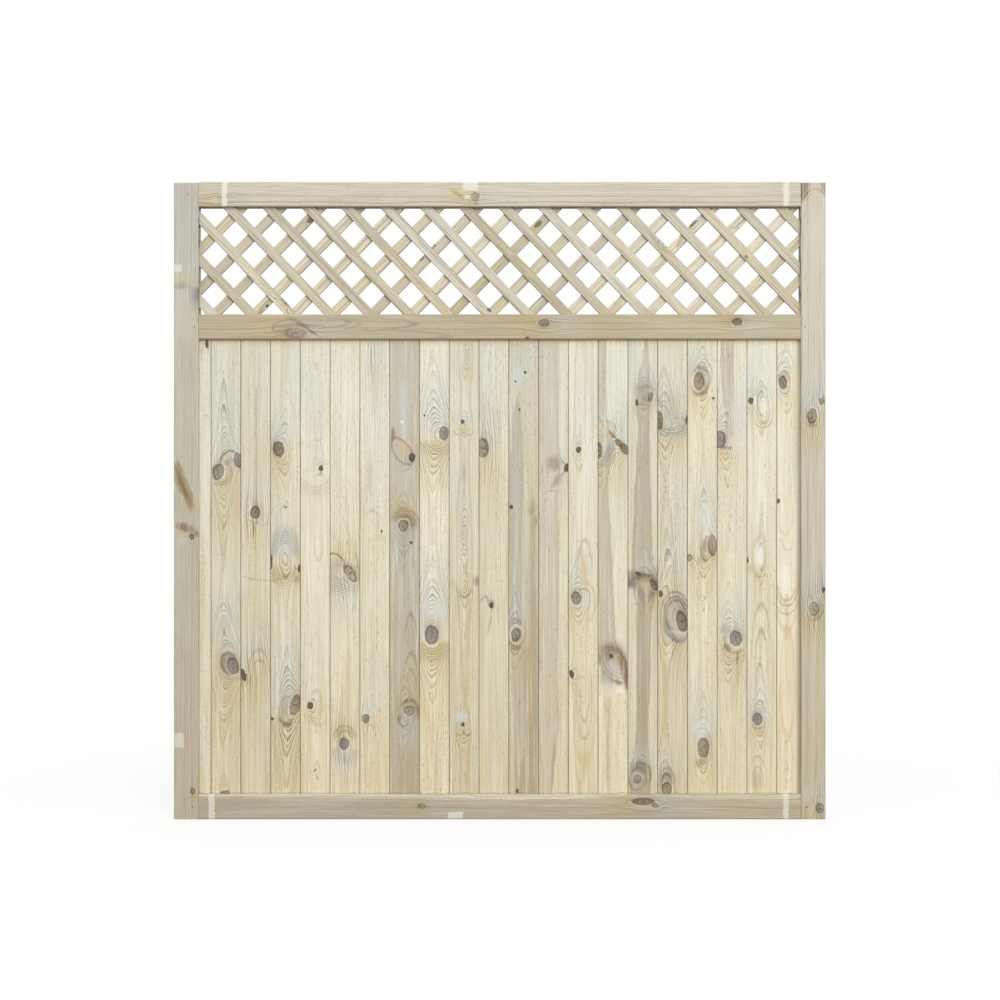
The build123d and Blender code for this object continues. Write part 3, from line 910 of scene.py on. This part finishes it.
board(
    16, "cream", (45, 30), 5.2, shade=0.92,
    knots=[
        (64, 1187, 16, 24, "mauve", 20), (25, 1170, 9, 18, "dark", -10), (28, 690, 15, 9, "dark", 10),
        (71, 657, 17, 36, "bark", -24), (27, 112, 20, 26, "stone"),
    ],
    swells=[(34, 118, 60, 80, 40), (52, 1205, 50, 60, 26)],
    stains=[
        (46, 1290, 30, 100, CREAM, 0.35), (46, 1216, 60, 30, HEART_BROWN, 0.6, -20),
        (52, 1178, 44, 60, MAUVE_DARK, 0.5), (50, 676, 60, 30, WALNUT, 0.7, 20),
        (52, 652, 30, 50, TAN, 0.5, -16), (10, 664, 34, 46, SLATE, 0.7, -36),
        (34, 682, 62, 28, WALNUT, 0.85, 14), (54, 676, 52, 20, BROWN, 0.6, 30),
        (46, 660, 24, 50, TAN, 0.5, -24), (74, 652, 22, 60, CRACK, 0.6, 10),
        (66, 628, 22, 40, SLATE, 0.5, 30), (40, 628, 20, 60, MAUVE_DARK, 0.6, -16),
        (52, 608, 10, 70, MAUVE_PALE, 0.7), (24, 604, 12, 8, GRIME, 0.6), (34, 140, 60, 50, BROWN, 0.55),
        (34, 84, 56, 36, MAUVE, 0.8), (40, 400, 36, 560, HEART_BROWN, 0.5),
    ],
    arcs=[
        (48, 640, 92, 96, 0, GRIME, 0.5, 5, 120, 0.4), (52, 652, 54, 70, -20, GRIME, 0.6, 5, 50, 0.3),
        (26, 112, 28, 36, 0, MAUVE_PALE, 0.5, 3, 0, -1.0), (30, 114, 46, 58, 0, GRIME, 0.5, 5, 60, 0.0),
        (34, 118, 56, 80, 10, GRIME, 0.6, 5, 60, 0.2), (26, 110, 44, 60, 0, BROWN, 0.5, 4, -90, 0.0),
        (52, 1185, 60, 60, 0, BROWN, 0.5, 4, 60, 0.0),
    ],
    stripes=[
        (
            (
                (45, 8), (120, 3), (150, 5), (175, 17), (220, 20), (300, 24), (440, 24), (600, 22),
                (640, 16), (700, 10), (760, 12), (900, 18), (1000, 24), (1110, 30), (1160, 23),
                (1210, 20), (1240, 28), (1300, 43), (1370, 51),
            ),
            (
                (45, 64), (140, 67), (175, 60), (220, 56), (300, 57), (360, 62), (440, 64), (520, 63),
                (580, 67), (620, 76), (655, 84), (690, 75), (730, 68), (900, 66), (1000, 63), (1100, 60),
                (1150, 61), (1200, 72), (1235, 64), (1300, 57), (1370, 54),
            ),
            MAUVE, 1.0, 1.8,
        ),
        (
            ((574, 45), (600, 38), (630, 28), (648, 18), (658, -3), (698, -3)),
            ((574, 50), (600, 58), (630, 66), (645, 84), (690, 88), (698, 88)),
            BARK_BROWN, 0.9, 2.4,
        ),
        (((652, -3), (696, -3)), ((652, 20), (670, 34), (696, 18)), MAUVE_DARK, 0.8, 3),
    ],
)
board(
    17, "dun", (20, 26), 4.9, shade=1.03,
    knots=[
        (4, 1121, 18, 50, "bark"), (82, 1122, 8, 26, "dark"), (9, 633, 11, 18, "dark"),
        (67, 556, 30, 60, "bark", -12), (25, 84, 29, 36, "brown"),
    ],
    swells=[(44, 1110, 80, 110, 16), (40, 700, 60, 220, 20)],
    halos=[(40, 1146, 92, 90, -20, COOL_LINE, 0.85, 2.0, -90, 0.3)],
    stains=[
        (36, 1152, 50, 110, BLUE_GREY, 0.3), (10, 1168, 24, 30, BROWN, 0.5),
        (50, 1180, 70, 60, OLIVE, 0.35, -40), (44, 1090, 80, 60, COOL, 0.35),
        (40, 740, 12, 110, PALE, 0.35, 16), (56, 566, 92, 160, HEART_GREY, 0.85, -8),
        (60, 586, 50, 80, WALNUT, 0.6, -14), (30, 535, 26, 74, SLATE, 0.65, -14),
        (48, 506, 44, 22, SLATE, 0.7, 36), (24, 120, 40, 40, BROWN, 0.4),
    ],
    arcs=[
        (40, 1130, 84, 96, 0, LINE_GREY, 0.7, 3, -100, 0.1),
        (30, 1150, 84, 110, 0, LINE_GREY, 0.7, 3, -90, 0.3),
        (56, 1080, 40, 70, -14, LINE_GREY, 0.6, 3, 80, 0.1),
        (62, 1090, 56, 76, -14, LINE_GREY, 0.6, 3, 80, 0.2),
        (60, 560, 44, 84, -10, MAUVE_PALE, 0.5, 4, 180, -0.3),
        (55, 560, 58, 112, -8, GRIME, 0.8, 3.4, 110, -0.3),
        (55, 558, 74, 136, -8, GRIME, 0.7, 3.4, 110, -0.2),
        (55, 558, 90, 160, -8, GRIME, 0.6, 3.4, 110, -0.1),
        (55, 560, 68, 124, -8, SLATE, 0.6, 5, -140, 0.1), (25, 90, 32, 70, 0, GRIME, 0.7, 5, 90, 0.3),
        (25, 92, 46, 102, 0, BROWN, 0.5, 5, 90, 0.2),
    ],
)
board(
    18, "buff", (44, 24), 4.9, shade=1.06,
    knots=[
        (32, 1231, 29, 50, "brown"), (73, 1183, 6, 8, "dark"), (71, 770, 22, 56, "tan"),
        (6, 734, 15, 21, "grey"), (44, 200, 32, 56, "brown"),
    ],
    swells=[(46, 850, 54, 150, 24)],
    stains=[
        (46, 766, 22, 70, MAUVE_DARK, 0.8, 16), (44, 728, 40, 36, BROWN, 0.5, 20),
        (36, 1198, 40, 18, BROWN, 0.8), (31, 1268, 12, 9, GRIME, 0.8), (36, 156, 40, 30, BROWN, 0.5, -20),
        (38, 250, 60, 50, COOL, 0.8), (46, 850, 60, 110, COOL, 0.6),
    ],
    arcs=[
        (38, 1236, 48, 68, 0, BLUE_GREY, 0.6, 8, 40, 0.0), (33, 1231, 52, 78, 0, GRIME, 0.5, 5, 100, 0.5),
        (33, 1230, 48, 70, 0, BROWN, 0.7, 7, -90, 0.3),
        (38, 1240, 66, 108, 0, LINE_GREY, 0.5, 3, 80, 0.2),
        (71, 772, 24, 58, 0, GRIME, 0.7, 3, 180, -0.2),
        (40, 680, 22, 26, 0, LINE_OLIVE, 0.4, 2.4, 90, -0.2),
        (42, 640, 30, 34, 0, LINE_OLIVE, 0.4, 2.4, -90, -0.1),
        (40, 622, 18, 18, 0, BROWN, 0.4, 3, -90, 0.0), (40, 210, 50, 90, 0, LINE_GREY, 0.5, 3, 90, 0.2),
    ],
)
board(
    19, "buff", (30, 24), 5.2, shade=1.06,
    knots=[(8, 1067, 32, 48, "slate"), (52, 507, 33, 42, "slate")],
    swells=[(40, 480, 70, 90, 30)],
    stains=[
        (58, 1140, 50, 300, MAUVE_PALE, 0.45), (34, 1082, 34, 40, MAUVE, 0.9, 20),
        (28, 1044, 34, 14, BROWN, 0.9, 10), (20, 1018, 34, 34, ORANGE, 0.5),
        (30, 482, 34, 30, BROWN, 0.75, -30), (56, 452, 10, 50, BROWN, 0.7, 4),
        (20, 535, 40, 30, COOL_LINE, 0.35), (40, 240, 16, 70, ORANGE, 0.35),
    ],
    arcs=[
        (14, 1066, 44, 60, 0, MAUVE_PALE, 0.7, 4, -20, 0.2),
        (52, 507, 44, 56, 0, MAUVE_PALE, 0.8, 4, -130, -0.2),
        (50, 505, 60, 78, 0, BROWN, 0.7, 6, -130, 0.2), (48, 505, 82, 110, 0, BROWN, 0.35, 5, -130, 0.2),
        (52, 512, 10, 70, 0, BROWN, 0.4, 3, 90, 0.5),
    ],
    stripes=[
        (
            ((1090, 20), (1130, 22), (1190, 15), (1260, 10), (1370, 9)),
            ((1090, 44), (1130, 44), (1190, 46), (1260, 46), (1370, 46)),
            MAUVE, 1.0, 2.5,
        ),
        (((300, 40), (450, 30)), ((300, 46), (450, 62)), MAUVE_PALE, 0.6, 4),
    ],
    bars=[(57, 410, 2.5, 80, BROWN, 0.4, 2.0)],
)
board(
    20, "cream", (40, 22), 4.8, shade=1.01,
    knots=[(10, 1176, 14, 20, "dark"), (-1, 727, 9, 18, "dark"), (29, 280, 26, 36, "slate")],
    swells=[(44, 1165, 40, 110, 26), (38, 738, 36, 120, 14)],
    stains=[
        (46, 1160, 24, 60, PALE, 0.7), (48, 1112, 30, 14, OLIVE, 0.7), (34, 735, 26, 80, PALE, 0.8),
        (38, 592, 20, 22, TAN, 0.8), (40, 515, 24, 52, TAN, 0.7), (35, 240, 30, 40, ORANGE, 0.3),
        (30, 105, 36, 80, HEART_BROWN, 0.6), (8, 700, 20, 30, OLIVE, 0.6), (46, 295, 50, 30, COOL, 0.7),
    ],
    arcs=[
        (45, 1164, 34, 102, -6, LINE_GREY, 0.4, 3, 0, -1.0),
        (50, 1164, 46, 108, -8, LINE_GREY, 0.3, 3, 20, 0.2),
        (46, 1130, 52, 60, 0, LINE_OLIVE, 0.6, 3, -90, 0.3),
        (34, 738, 38, 112, 4, BROWN, 0.3, 4, 0, -1.0), (36, 690, 30, 20, 0, BROWN, 0.4, 4, -70, 0.2),
        (40, 786, 14, 24, 0, TAN, 0.8, 5, 0, -1.0), (44, 285, 44, 34, 0, LINE_GREY, 0.6, 3, 50, 0.1),
        (30, 274, 32, 42, 0, BROWN, 0.6, 4, -90, 0.3),
        (30, 100, 52, 150, 0, LINE_OLIVE, 0.5, 2.4, 90, 0.0),
        (30, 96, 34, 100, 0, BROWN, 0.45, 2.6, 90, 0.0),
        (40, 410, 60, 390, 0, LINE_GREY, 0.5, 2.2, 90, -0.1),
        (40, 400, 38, 260, 0, LINE_OLIVE, 0.55, 2.2, 90, 0.0),
        (36, 360, 24, 150, 0, LINE_OLIVE, 0.5, 2.2, 90, 0.0),
    ],
)
board(
    21, "cream", (28, 24), 5.1, shade=1.05,
    knots=[(17, 1227, 24, 38, "red"), (3, 894, 8, 14, "dark")],
    stains=[
        (52, 1150, 16, 400, YELLOW, 0.4), (26, 605, 44, 60, OLIVE, 0.35), (26, 536, 26, 30, ORANGE, 0.4),
        (32, 410, 36, 320, ORANGE, 0.4), (14, 898, 26, 30, ORANGE, 0.35), (20, 680, 30, 120, PALE, 0.6),
        (30, 980, 60, 500, YELLOW, 0.1),
    ],
    arcs=[
        (17, 1227, 36, 58, 0, BROWN, 0.6, 3, 90, 0.2), (20, 1232, 48, 106, 0, LINE_GREY, 0.6, 3, 90, 0.2),
        (22, 1240, 60, 150, 0, LINE_OLIVE, 0.4, 3, 90, 0.3),
        (27, 664, 66, 130, 0, LINE_OLIVE, 0.7, 3, -90, 0.0),
        (27, 656, 48, 86, 0, LINE_OLIVE, 0.7, 3, -90, 0.0),
        (30, 800, 34, 90, 0, LINE_OLIVE, 0.35, 2.4, -90, 0.1),
        (24, 860, 40, 120, 0, ORANGE, 0.5, 4, -60, 0.1),
        (27, 660, 80, 170, 0, LINE_OLIVE, 0.5, 3, -90, 0.2),
        (27, 590, 50, 120, 0, ORANGE, 0.6, 6, -90, 0.1), (30, 380, 40, 300, 0, ORANGE, 0.6, 4, 0, -1.0),
    ],
)

# Frame. Places on a stile are from its left edge and the ground. On a rail they are from its top edge down,
# and from the middle of the panel to the right.

STILE_SPAN = (0.0, 1.79)
RAIL_SPAN = (-0.845, 0.845)
RAIL_WARM = (0.4, 0.4)
FRAME_FACE = -22.5
LOOKS_LEFT = (-1.0, 0.0, 0.0)
LOOKS_DOWN = (0.0, 0.0, -1.0)


def frame_timber(name, origin, turn, pith, ring, tones, warm, span, **figure):
    """A length of frame timber: planed, weathered, and with finer lines than the boards."""
    usual = {
        "line": 0.8, "face": FRAME_FACE, "pale": 0.12, "pits": 0.25, "grain": 0.45, "cool": 0.2,
        "stirred": 0.4, "late": FRAME_LATE,
    }
    dress_timber(Stock(name, origin, turn, pith, ring, tones, warm, span, **(usual | figure)))


frame_timber(
    "left_stile", (-0.915, 0.0, 0.0), 0.0, (-60, 40), 4.4, LEFT_STILE_TONES, (0.0, 0.8), STILE_SPAN,
    shade=(0.93, 0.93, 0.93), parting=1, ends=True,
    swells=[(66, 1472, 60, 130, 30)],
    halos=[(69, 1474, 26, 48, 0, MAUVE_DARK, 0.6, 2.4, 235, -0.1)],
    knots=[(50, 793, 13, 18, "bark"), (54, 80, 13, 17, "brown")],
    stripes=[
        (
            ((862, 44), (900, 31), (928, 12), (956, -2), (985, 0), (1014, 9)),
            ((862, 52), (905, 55), (940, 43), (972, 27), (1014, 12)),
            STILE_BROWN, 0.9, 4,
        ),
    ],
    stains=[
        (63, 1487, 20, 8, BROWN, 0.8, -14), (18, 1498, 56, 28, SLATE, 0.5),
        (67, 1471, 36, 62, MAUVE_DARK, 0.85), (67, 1470, 22, 44, CRACK, 0.6),
        (35, 1516, 90, 44, TAN, 0.35), (30, 1400, 80, 170, MAUVE_PALE, 0.4),
        (22, 942, 16, 140, BROWN, 0.8, -20), (44, 900, 20, 80, BROWN, 0.7, -28),
        (20, 1522, 44, 18, TAN, 0.5), (65, 1515, 12, 40, TAN, 0.6), (60, 878, 24, 70, TAN, 0.45, -10),
        (20, 880, 40, 70, MAUVE, 0.4),
        (32, 819, 66, 32, BROWN, 0.85, 14), (64, 802, 20, 24, BROWN, 0.7), (18, 808, 18, 14, OLIVE, 0.6),
        (22, 781, 44, 26, COOL, 0.45), (0, 882, 8, 80, SLATE, 0.7),
    ],
    bars=[
        (11, 1547, 22, 22, STRAP_PALE, 0.6, 2.0), (15, 222, 26, 40, STRAP_PALE, 0.6, 2.0),
        # A dark strip on the side that looks to the lattice: painted shade
        (72, 1569, 4, 300, CRACK, 0.75, 1.0),
    ],
)
frame_timber(
    "right_stile", (0.845, 0.0, 0.0), 0.0, (130, 50), 4.4, RIGHT_STILE_TONES, (0.0, 0.9), STILE_SPAN,
    shade=(1.0, 1.0, 0.99), parting=-1, ends=True,
    # Painted shade on the side that looks to the boards, and along both edges
    grimy_side=LOOKS_LEFT, side_grime=0.2, side_tone=BROWN,
    grimy_edges=[(10.0, 0.0, 0.22), (63.0, 70.0, 0.12)],
    knots=[
        (32, 1132, 26, 42, "grey"), (59, 1174, 14, 18, "grey"), (37, 592, 28, 39, "stone"),
        (65, 645, 10, 18, "dark"), (54, 32, 21, 30, "grey"),
    ],
    stains=[
        (6, 1770, 40, 92, GRIME, 0.8, 20), (67, 1778, 26, 64, GRIME, 0.7, -18), (38, 1760, 46, 52, TAN, 0.5),
        (15, 1752, 5, 48, GRIME, 0.85, 36), (20, 1745, 4, 24, GRIME, 0.6, 38),
        (62, 1758, 4, 28, GRIME, 0.6, -32), (32, 1106, 34, 10, BROWN, 0.5),
        (31, 626, 6, 22, BROWN, 0.6, -25), (42, 568, 30, 10, BROWN, 0.5), (28, 28, 30, 36, YELLOW, 0.6),
        (16, 70, 30, 70, MAUVE_PALE, 0.5),
    ],
    arcs=[
        (40, 1728, 62, 84, 0, GRIME, 0.35, 4, 90, 0.3), (39, 590, 46, 58, 0, BROWN, 0.45, 4, -50, 0.1),
        (54, 34, 34, 44, 0, MAUVE_PALE, 0.6, 4, 110, 0.1),
    ],
    # The second bar, a dark strip on the side that looks to the lattice, is painted shade
    bars=[(35, 1790, 76, 8, GRIME, 0.4, 3.0), (-2, 1569, 4, 300, CRACK, 0.75, 1.0)],
)
frame_timber(
    "top_rail", (0.0, 0.0, 1.79), QUARTER_TURN, (-50, 60), 4.0, TOP_TONES, RAIL_WARM, RAIL_SPAN,
    # Painted shade on the underside and along the lower edge
    line=1.0, parting=1, grimy_side=LOOKS_DOWN, grimy_edges=[(66.0, 69.5, 0.4)],
    knots=[(51, -791, 17, 28, "faint"), (42, -68, 26, 22, "lilac")],
    stains=[
        (33, -120, 13, 58, LINE_OLIVE, 0.6, 35), (54, -84, 7, 40, LINE_OLIVE, 0.55, 30),
        (62, -65, 10, 14, BROWN, 0.7), (44, -92, 20, 22, PALE, 0.5), (48, -810, 26, 30, OLIVE, 0.6),
        (60, -794, 10, 24, BROWN, 0.5, 30), (58, 636, 18, 40, ORANGE, 0.35),
    ],
    bars=[
        (35, -773, 80, 15, STRAP_PALE, 0.7, 1.5), (35, 804, 80, 16, STRAP_PALE, 0.6, 4.0),
        (12, -82, 26, 42, STRAP_PALE, 0.6, 2.0),
    ],
)
frame_timber(
    "middle_rail", (0.0, 0.0, 1.418), QUARTER_TURN, (90, 50), 4.2, MIDDLE_TONES, RAIL_WARM, RAIL_SPAN,
    shade=(0.95, 0.93, 0.88), parting=-1,
    # Painted shade on the underside and along the lower edge
    grimy_side=LOOKS_DOWN, side_grime=0.7, grimy_edges=[(65.0, 69.5, 0.35)],
    knots=[
        (52, -572, 26, 58, "lilac"), (23, 124, 22, 30, "mauve"), (66, 77, 8, 11, "dark"),
        (21, 666, 20, 30, "bark"),
    ],
    halos=[(50, -580, 30, 62, 0, MAUVE_DARK, 1.0, 2.0, 215, -0.3)],
    stains=[
        (29, -560, 16, 110, BROWN, 0.5, 32), (44, -586, 22, 50, MAUVE_DARK, 0.6),
        (40, -540, 9, 90, GRIME, 0.8, 34),
    ],
    arcs=[
        (52, -572, 30, 64, 0, GRIME, 0.8, 4, 0, -1.0), (38, -590, 44, 92, 0, MAUVE_DARK, 0.9, 4, 200, -0.1),
        (23, -560, 34, 270, 0, MAUVE_DARK, 1.0, 2.2, 90, 0.1),
        (25, -560, 48, 330, 0, MAUVE_DARK, 0.6, 2, 90, 0.2),
        (27, -500, 42, 520, 0, MAUVE_DARK, 1.0, 1.8, 90, 0.4),
        (60, -500, 36, 700, 0, MAUVE_DARK, 0.6, 2, 90, 0.4),
    ],
)
frame_timber(
    "bottom_rail", (0.0, 0.0, 0.07), QUARTER_TURN, (130, 60), 4.2, BOTTOM_TONES, (0.7, 0.2), RAIL_SPAN,
    # Painted shade on the underside
    shade=(1.02, 1.0, 1.0), parting=-1, grain=0.8, grimy_side=LOOKS_DOWN,
    knots=[(32, -218, 14, 22, "brown"), (20, 402, 20, 62, "red"), (30, 436, 12, 18, "brown")],
    stripes=[
        (
            ((-860, -2), (860, -2)),
            (
                (-860, 8), (-600, 8), (-500, 10), (-300, 10), (-150, 14), (250, 14), (330, 8), (420, 8),
                (560, 12), (860, 12),
            ),
            STRAP_PALE, 0.6, 1.5,
        ),
    ],
    bars=[
        (35, -809, 80, 17, STRAP_PALE, 0.6, 1.5), (35, 803, 80, 15, STRAP_PALE, 0.6, 1.5),
        (58, -124, 18, 42, STRAP_PALE, 0.6, 2.0),
    ],
)

# Laths: the front layer falls from left to right, the back layer rises. Knots are from a lath's middle.

FRONT_LEAN = math.radians(-43.6)
BACK_LEAN = math.radians(44.7)
LATH_PITCH = 0.1109
FRONT_LATH_START = 0.047
BACK_LATH_START = 0.0095
FRONT_BEFORE = 8  # laths to the left of the start
BACK_BEFORE = 7
LATTICE_MIDDLE = 1.569
LATH_SPAN = (-0.25, 0.25)
LATH_WARM = (0.2, 0.8)
LATH_SIDE = 13.5  # mm, half a lath's width
LATH_FACES = {"front": -8.0, "back": 0.0}
# The back laths are made lighter to make up for the shade that the front layer casts on them: painted light
LATH_SHADES = {"front": None, "back": (1.06, 1.06, 1.06)}
FRONT_LATHS = (
    "grey", "cream", "grey", "mauve", "grey", "tan", "bluish", "bluish", "olive", "mauve", "bluish", "cream",
    "grey", "grey", "tan", "grey",
)
BACK_LATHS = (
    "mauve", "mauve", "cream", "cream", "tan", "mauve", "cream", "olive", "tan", "mauve", "cream", "cream",
    "cream", "cream", "cream",
)
FRONT_LATH_KNOTS = {
    2: [(12, -172, 6, 34, "tan")],
    7: [(10, -200, 6, 16, "dark")],
    13: [(2, 60, 13, 22, "faint")],
    15: [(-5, 22, 8, 10, "brown")],
}
BACK_LATH_KNOTS = {
    2: [(3, 170, 15, 22, "bark")],
    3: [(10, -166, 7, 10, "dark")],
    6: [(-10, 47, 6, 16, "brown"), (-11, 0, 6, 16, "brown")],
    8: [(-4, 145, 14, 24, "bark")],
    12: [(-8, 141, 8, 28, "bark")],
}
CORNER_STAINS = {"front": [(-688, 475, 70, 140, COOL, 0.6)], "back": []}
FRONT_FIRST = FRONT_LATH_START - FRONT_BEFORE * LATH_PITCH
BACK_FIRST = BACK_LATH_START - BACK_BEFORE * LATH_PITCH
LAYERS = (
    ("front", FRONT_LEAN, FRONT_FIRST, FRONT_LATHS, FRONT_LATH_KNOTS, "grey"),
    ("back", BACK_LEAN, BACK_FIRST, BACK_LATHS, BACK_LATH_KNOTS, "tan"),
)


def lath_timber(name, layer, middle, lean, sort, **figure):
    luck = random.Random("lath " + name)
    pith = (luck.uniform(-60, 60), luck.uniform(18, 50))
    ring = luck.uniform(3.0, 4.4)
    origin = (middle, 0.0, LATTICE_MIDDLE)
    dress_timber(Stock(
        name, origin, lean, pith, ring, LATH_TONES[sort], LATH_WARM, LATH_SPAN,
        line=0.8, cool=0.1, pale=0.15, pits=0.25, grain=0.85, late=FRAME_LATE,
        shade=LATH_SHADES[layer], face=LATH_FACES[layer], **figure,
    ))


for layer, lean, first_middle, sorts, knots, corner_sort in LAYERS:
    # Painted shade along the lower edge of each lath
    lower_edge = math.copysign(1.0, lean)
    edges = [(lower_edge * (LATH_SIDE - 2.5), lower_edge * (LATH_SIDE - 0.5), 0.6)]
    for index, sort in enumerate(sorts):
        name = f"{layer}_lath_{index + 1:02d}"
        middle = first_middle + index * LATH_PITCH
        lath_timber(name, layer, middle, lean, sort, knots=knots.get(index + 1, []), grimy_edges=edges)
    lath_timber(layer + "_corner_laths", layer, 0.0, lean, corner_sort, stains=CORNER_STAINS[layer])


# Nails and staples

def bare_steel():
    finish = Finish("bare_steel")
    spots = finish.noise(finish.object_coords(), RUST_SPOTS, (0.0, 0.0, 0.0), 3.0)
    colour = finish.mix(finish.fade(spots, 0.42, 0.64), STEEL, RUST)
    roughness = 0.4 + finish.fade(spots, 0.4, 0.7) * 0.35
    material = finish.surface(colour, roughness, spots, RUST_BUMP)
    finish.tree.nodes["Principled BSDF"].inputs["Metallic"].default_value = 0.8
    return material


steel = bare_steel()
dress("tenon_nails", steel)

CROWN_LENGTH = 12.0 * MM
WIRE_WIDTH = 1.3 * MM
WIRE_THICK = 0.9 * MM
WIRE_EDGE = 0.2 * MM
LEG_LENGTH = 1.4 * MM
LATTICE_BACK = 8.0 * MM
STAPLE_PROUD = 0.6 * MM
STAPLE_SKEW = 25  # degrees, at most
SMOOTH_BELOW = math.radians(35)
CROSSING_REACH = 0.135  # how far above or below the lattice's middle a crossing gets a staple
CROSSING_SIDE = 0.825


def wire_staple():
    """One staple: a flat crown with a short leg turned down into the wood at each end."""
    bpy.ops.object.select_all(action="DESELECT")
    bpy.ops.mesh.primitive_cube_add(size=1.0)
    made = bpy.context.object
    made.scale = (CROWN_LENGTH, WIRE_THICK, WIRE_WIDTH)
    bpy.ops.object.transform_apply(location=False, rotation=False, scale=True)
    bpy.ops.object.mode_set(mode="EDIT")
    bend = CROWN_LENGTH / 2 - WIRE_THICK
    for side in (-bend, bend):
        bpy.ops.mesh.select_all(action="SELECT")
        bpy.ops.mesh.bisect(plane_co=(side, 0.0, 0.0), plane_no=(1.0, 0.0, 0.0))
    bpy.ops.mesh.select_mode(type="FACE")
    bpy.ops.mesh.select_all(action="DESELECT")
    mesh = bmesh.from_edit_mesh(made.data)
    for face in mesh.faces:
        inward = face.normal.y < -0.5
        face.select_set(inward and abs(face.calc_center_median().x) > bend)
    bmesh.update_edit_mesh(made.data)
    bpy.ops.mesh.extrude_region_move(TRANSFORM_OT_translate={"value": (0.0, -LEG_LENGTH, 0.0)})
    bpy.ops.mesh.select_all(action="SELECT")
    bpy.ops.mesh.bevel(offset=WIRE_EDGE, segments=1, affect="EDGES")
    bpy.ops.object.mode_set(mode="OBJECT")
    return made


def lath_crossings():
    """Where the two layers of laths cross, within the opening."""
    front_slope = math.tan(-FRONT_LEAN)
    back_slope = math.tan(BACK_LEAN)
    for front in range(-FRONT_BEFORE, len(FRONT_LATHS) - FRONT_BEFORE):
        for back in range(-BACK_BEFORE, len(BACK_LATHS) - BACK_BEFORE):
            front_x = FRONT_LATH_START + front * LATH_PITCH
            up = (front_x - BACK_LATH_START - back * LATH_PITCH) / (front_slope + back_slope)
            x = front_x - up * front_slope
            if abs(up) < CROSSING_REACH and abs(x) < CROSSING_SIDE:
                yield x, LATTICE_MIDDLE + up


staple = wire_staple()
staple_luck = random.Random("lattice_staples")
staples = []
for x, z in lath_crossings():
    copy = staple.copy()
    copy.data = staple.data.copy()
    copy.location = (x, LATTICE_BACK + STAPLE_PROUD - WIRE_THICK / 2, z)
    copy.rotation_euler = (0.0, math.radians(staple_luck.uniform(-STAPLE_SKEW, STAPLE_SKEW)), 0.0)
    bpy.context.collection.objects.link(copy)
    staples.append(copy)
bpy.data.objects.remove(staple)
bpy.ops.object.select_all(action="DESELECT")
for copy in staples:
    copy.select_set(True)
bpy.context.view_layer.objects.active = staples[0]
bpy.ops.object.join()
lattice_staples = bpy.context.object
lattice_staples.name = "lattice_staples"
bpy.ops.object.transform_apply(location=True, rotation=True, scale=True)
bpy.ops.object.shade_smooth_by_angle(angle=SMOOTH_BELOW)
lattice_staples.data.materials.append(steel)
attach(lattice_staples, "root")


# A plain studio

WHITE = (1.0, 1.0, 1.0, 1.0)
MATT_WHITE = (0.95, 0.95, 0.95, 1.0)
BOUNCE_GREY = (0.3, 0.3, 0.3, 1.0)
SHADOW_NEAR = 1.0
SHADOW_FAR = 2.4
LEAST_WHITE = 0.75  # share of plain white in the floor near the panel


def pale_floor():
    """White to the camera, with the panel's soft shadow left in it near the panel, and plain grey to all
    that it lights."""
    finish = Finish("pale_floor")
    seen = finish.seen()
    distance = finish.vector("LENGTH", finish.object_coords(), output=1)
    away = finish.fade(distance, SHADOW_NEAR, SHADOW_FAR)
    bounce = finish.node("ShaderNodeBsdfDiffuse", None, {"Color": BOUNCE_GREY})
    matt = finish.node("ShaderNodeBsdfDiffuse", None, {"Color": MATT_WHITE})
    white = finish.node("ShaderNodeEmission", None, {"Color": WHITE, "Strength": 1.0})
    whiteness = away * (1.0 - LEAST_WHITE) + LEAST_WHITE
    shown = finish.node("ShaderNodeMixShader", None, {0: whiteness, 1: matt, 2: white})
    both = finish.node("ShaderNodeMixShader", None, {0: seen, 1: bounce, 2: shown})
    finish.node("ShaderNodeOutputMaterial", None, {"Surface": both})
    return finish.material


bpy.ops.object.select_all(action="DESELECT")
bpy.ops.mesh.primitive_plane_add(size=40.0)
floor = bpy.context.object
floor.name = "floor"
floor.data.materials.append(pale_floor())


class Sky(Finish):
    """The world's own nodes, put together as a finish is."""

    def __init__(self):
        self.world = bpy.data.worlds.new("studio")
        self.world.use_nodes = True
        self.tree = self.world.node_tree
        self.tree.nodes.clear()


SKY_STRENGTH = 0.85
sky = Sky()
bpy.context.scene.world = sky.world
soft_light = sky.node("ShaderNodeBackground", None, {"Color": WHITE, "Strength": SKY_STRENGTH})
white_wall = sky.node("ShaderNodeBackground", None, {"Color": WHITE, "Strength": 1.0})
sky_mix = sky.node("ShaderNodeMixShader", None, {0: sky.seen(), 1: soft_light, 2: white_wall})
sky.node("ShaderNodeOutputWorld", None, {"Surface": sky_mix})

# One lamp, above and to the right of the camera
LAMP_PLACE = (1.2, -8.0, 4.6)
LAMP_AIM = (0.0, 0.0, 0.9)
LAMP_SIZE = 4.0
LAMP_POWER = 440.0
bpy.ops.object.light_add(type="AREA", location=LAMP_PLACE)
lamp = bpy.context.object
lamp.name = "key_lamp"
lamp.data.size = LAMP_SIZE
lamp.data.energy = LAMP_POWER
lamp.rotation_euler = (Vector(LAMP_AIM) - Vector(LAMP_PLACE)).to_track_quat("-Z", "Y").to_euler()

# The camera looks square at the panel, level with its middle
CAMERA_DISTANCE = 5.6
CAMERA_SIDE = 0.0008
VIEW_WIDTH = 2.807  # what the picture spans at the front of the frame
EYE_HEIGHT = 0.8966
FRAME_FRONT = -0.0225
camera_place = (CAMERA_SIDE, FRAME_FRONT - CAMERA_DISTANCE, EYE_HEIGHT)
bpy.ops.object.camera_add(location=camera_place, rotation=(QUARTER_TURN, 0, 0))
camera = bpy.context.object
camera.data.sensor_width = 36.0
camera.data.lens = camera.data.sensor_width * CAMERA_DISTANCE / VIEW_WIDTH
bpy.context.scene.camera = camera
bpy.context.scene.view_settings.view_transform = "Standard"
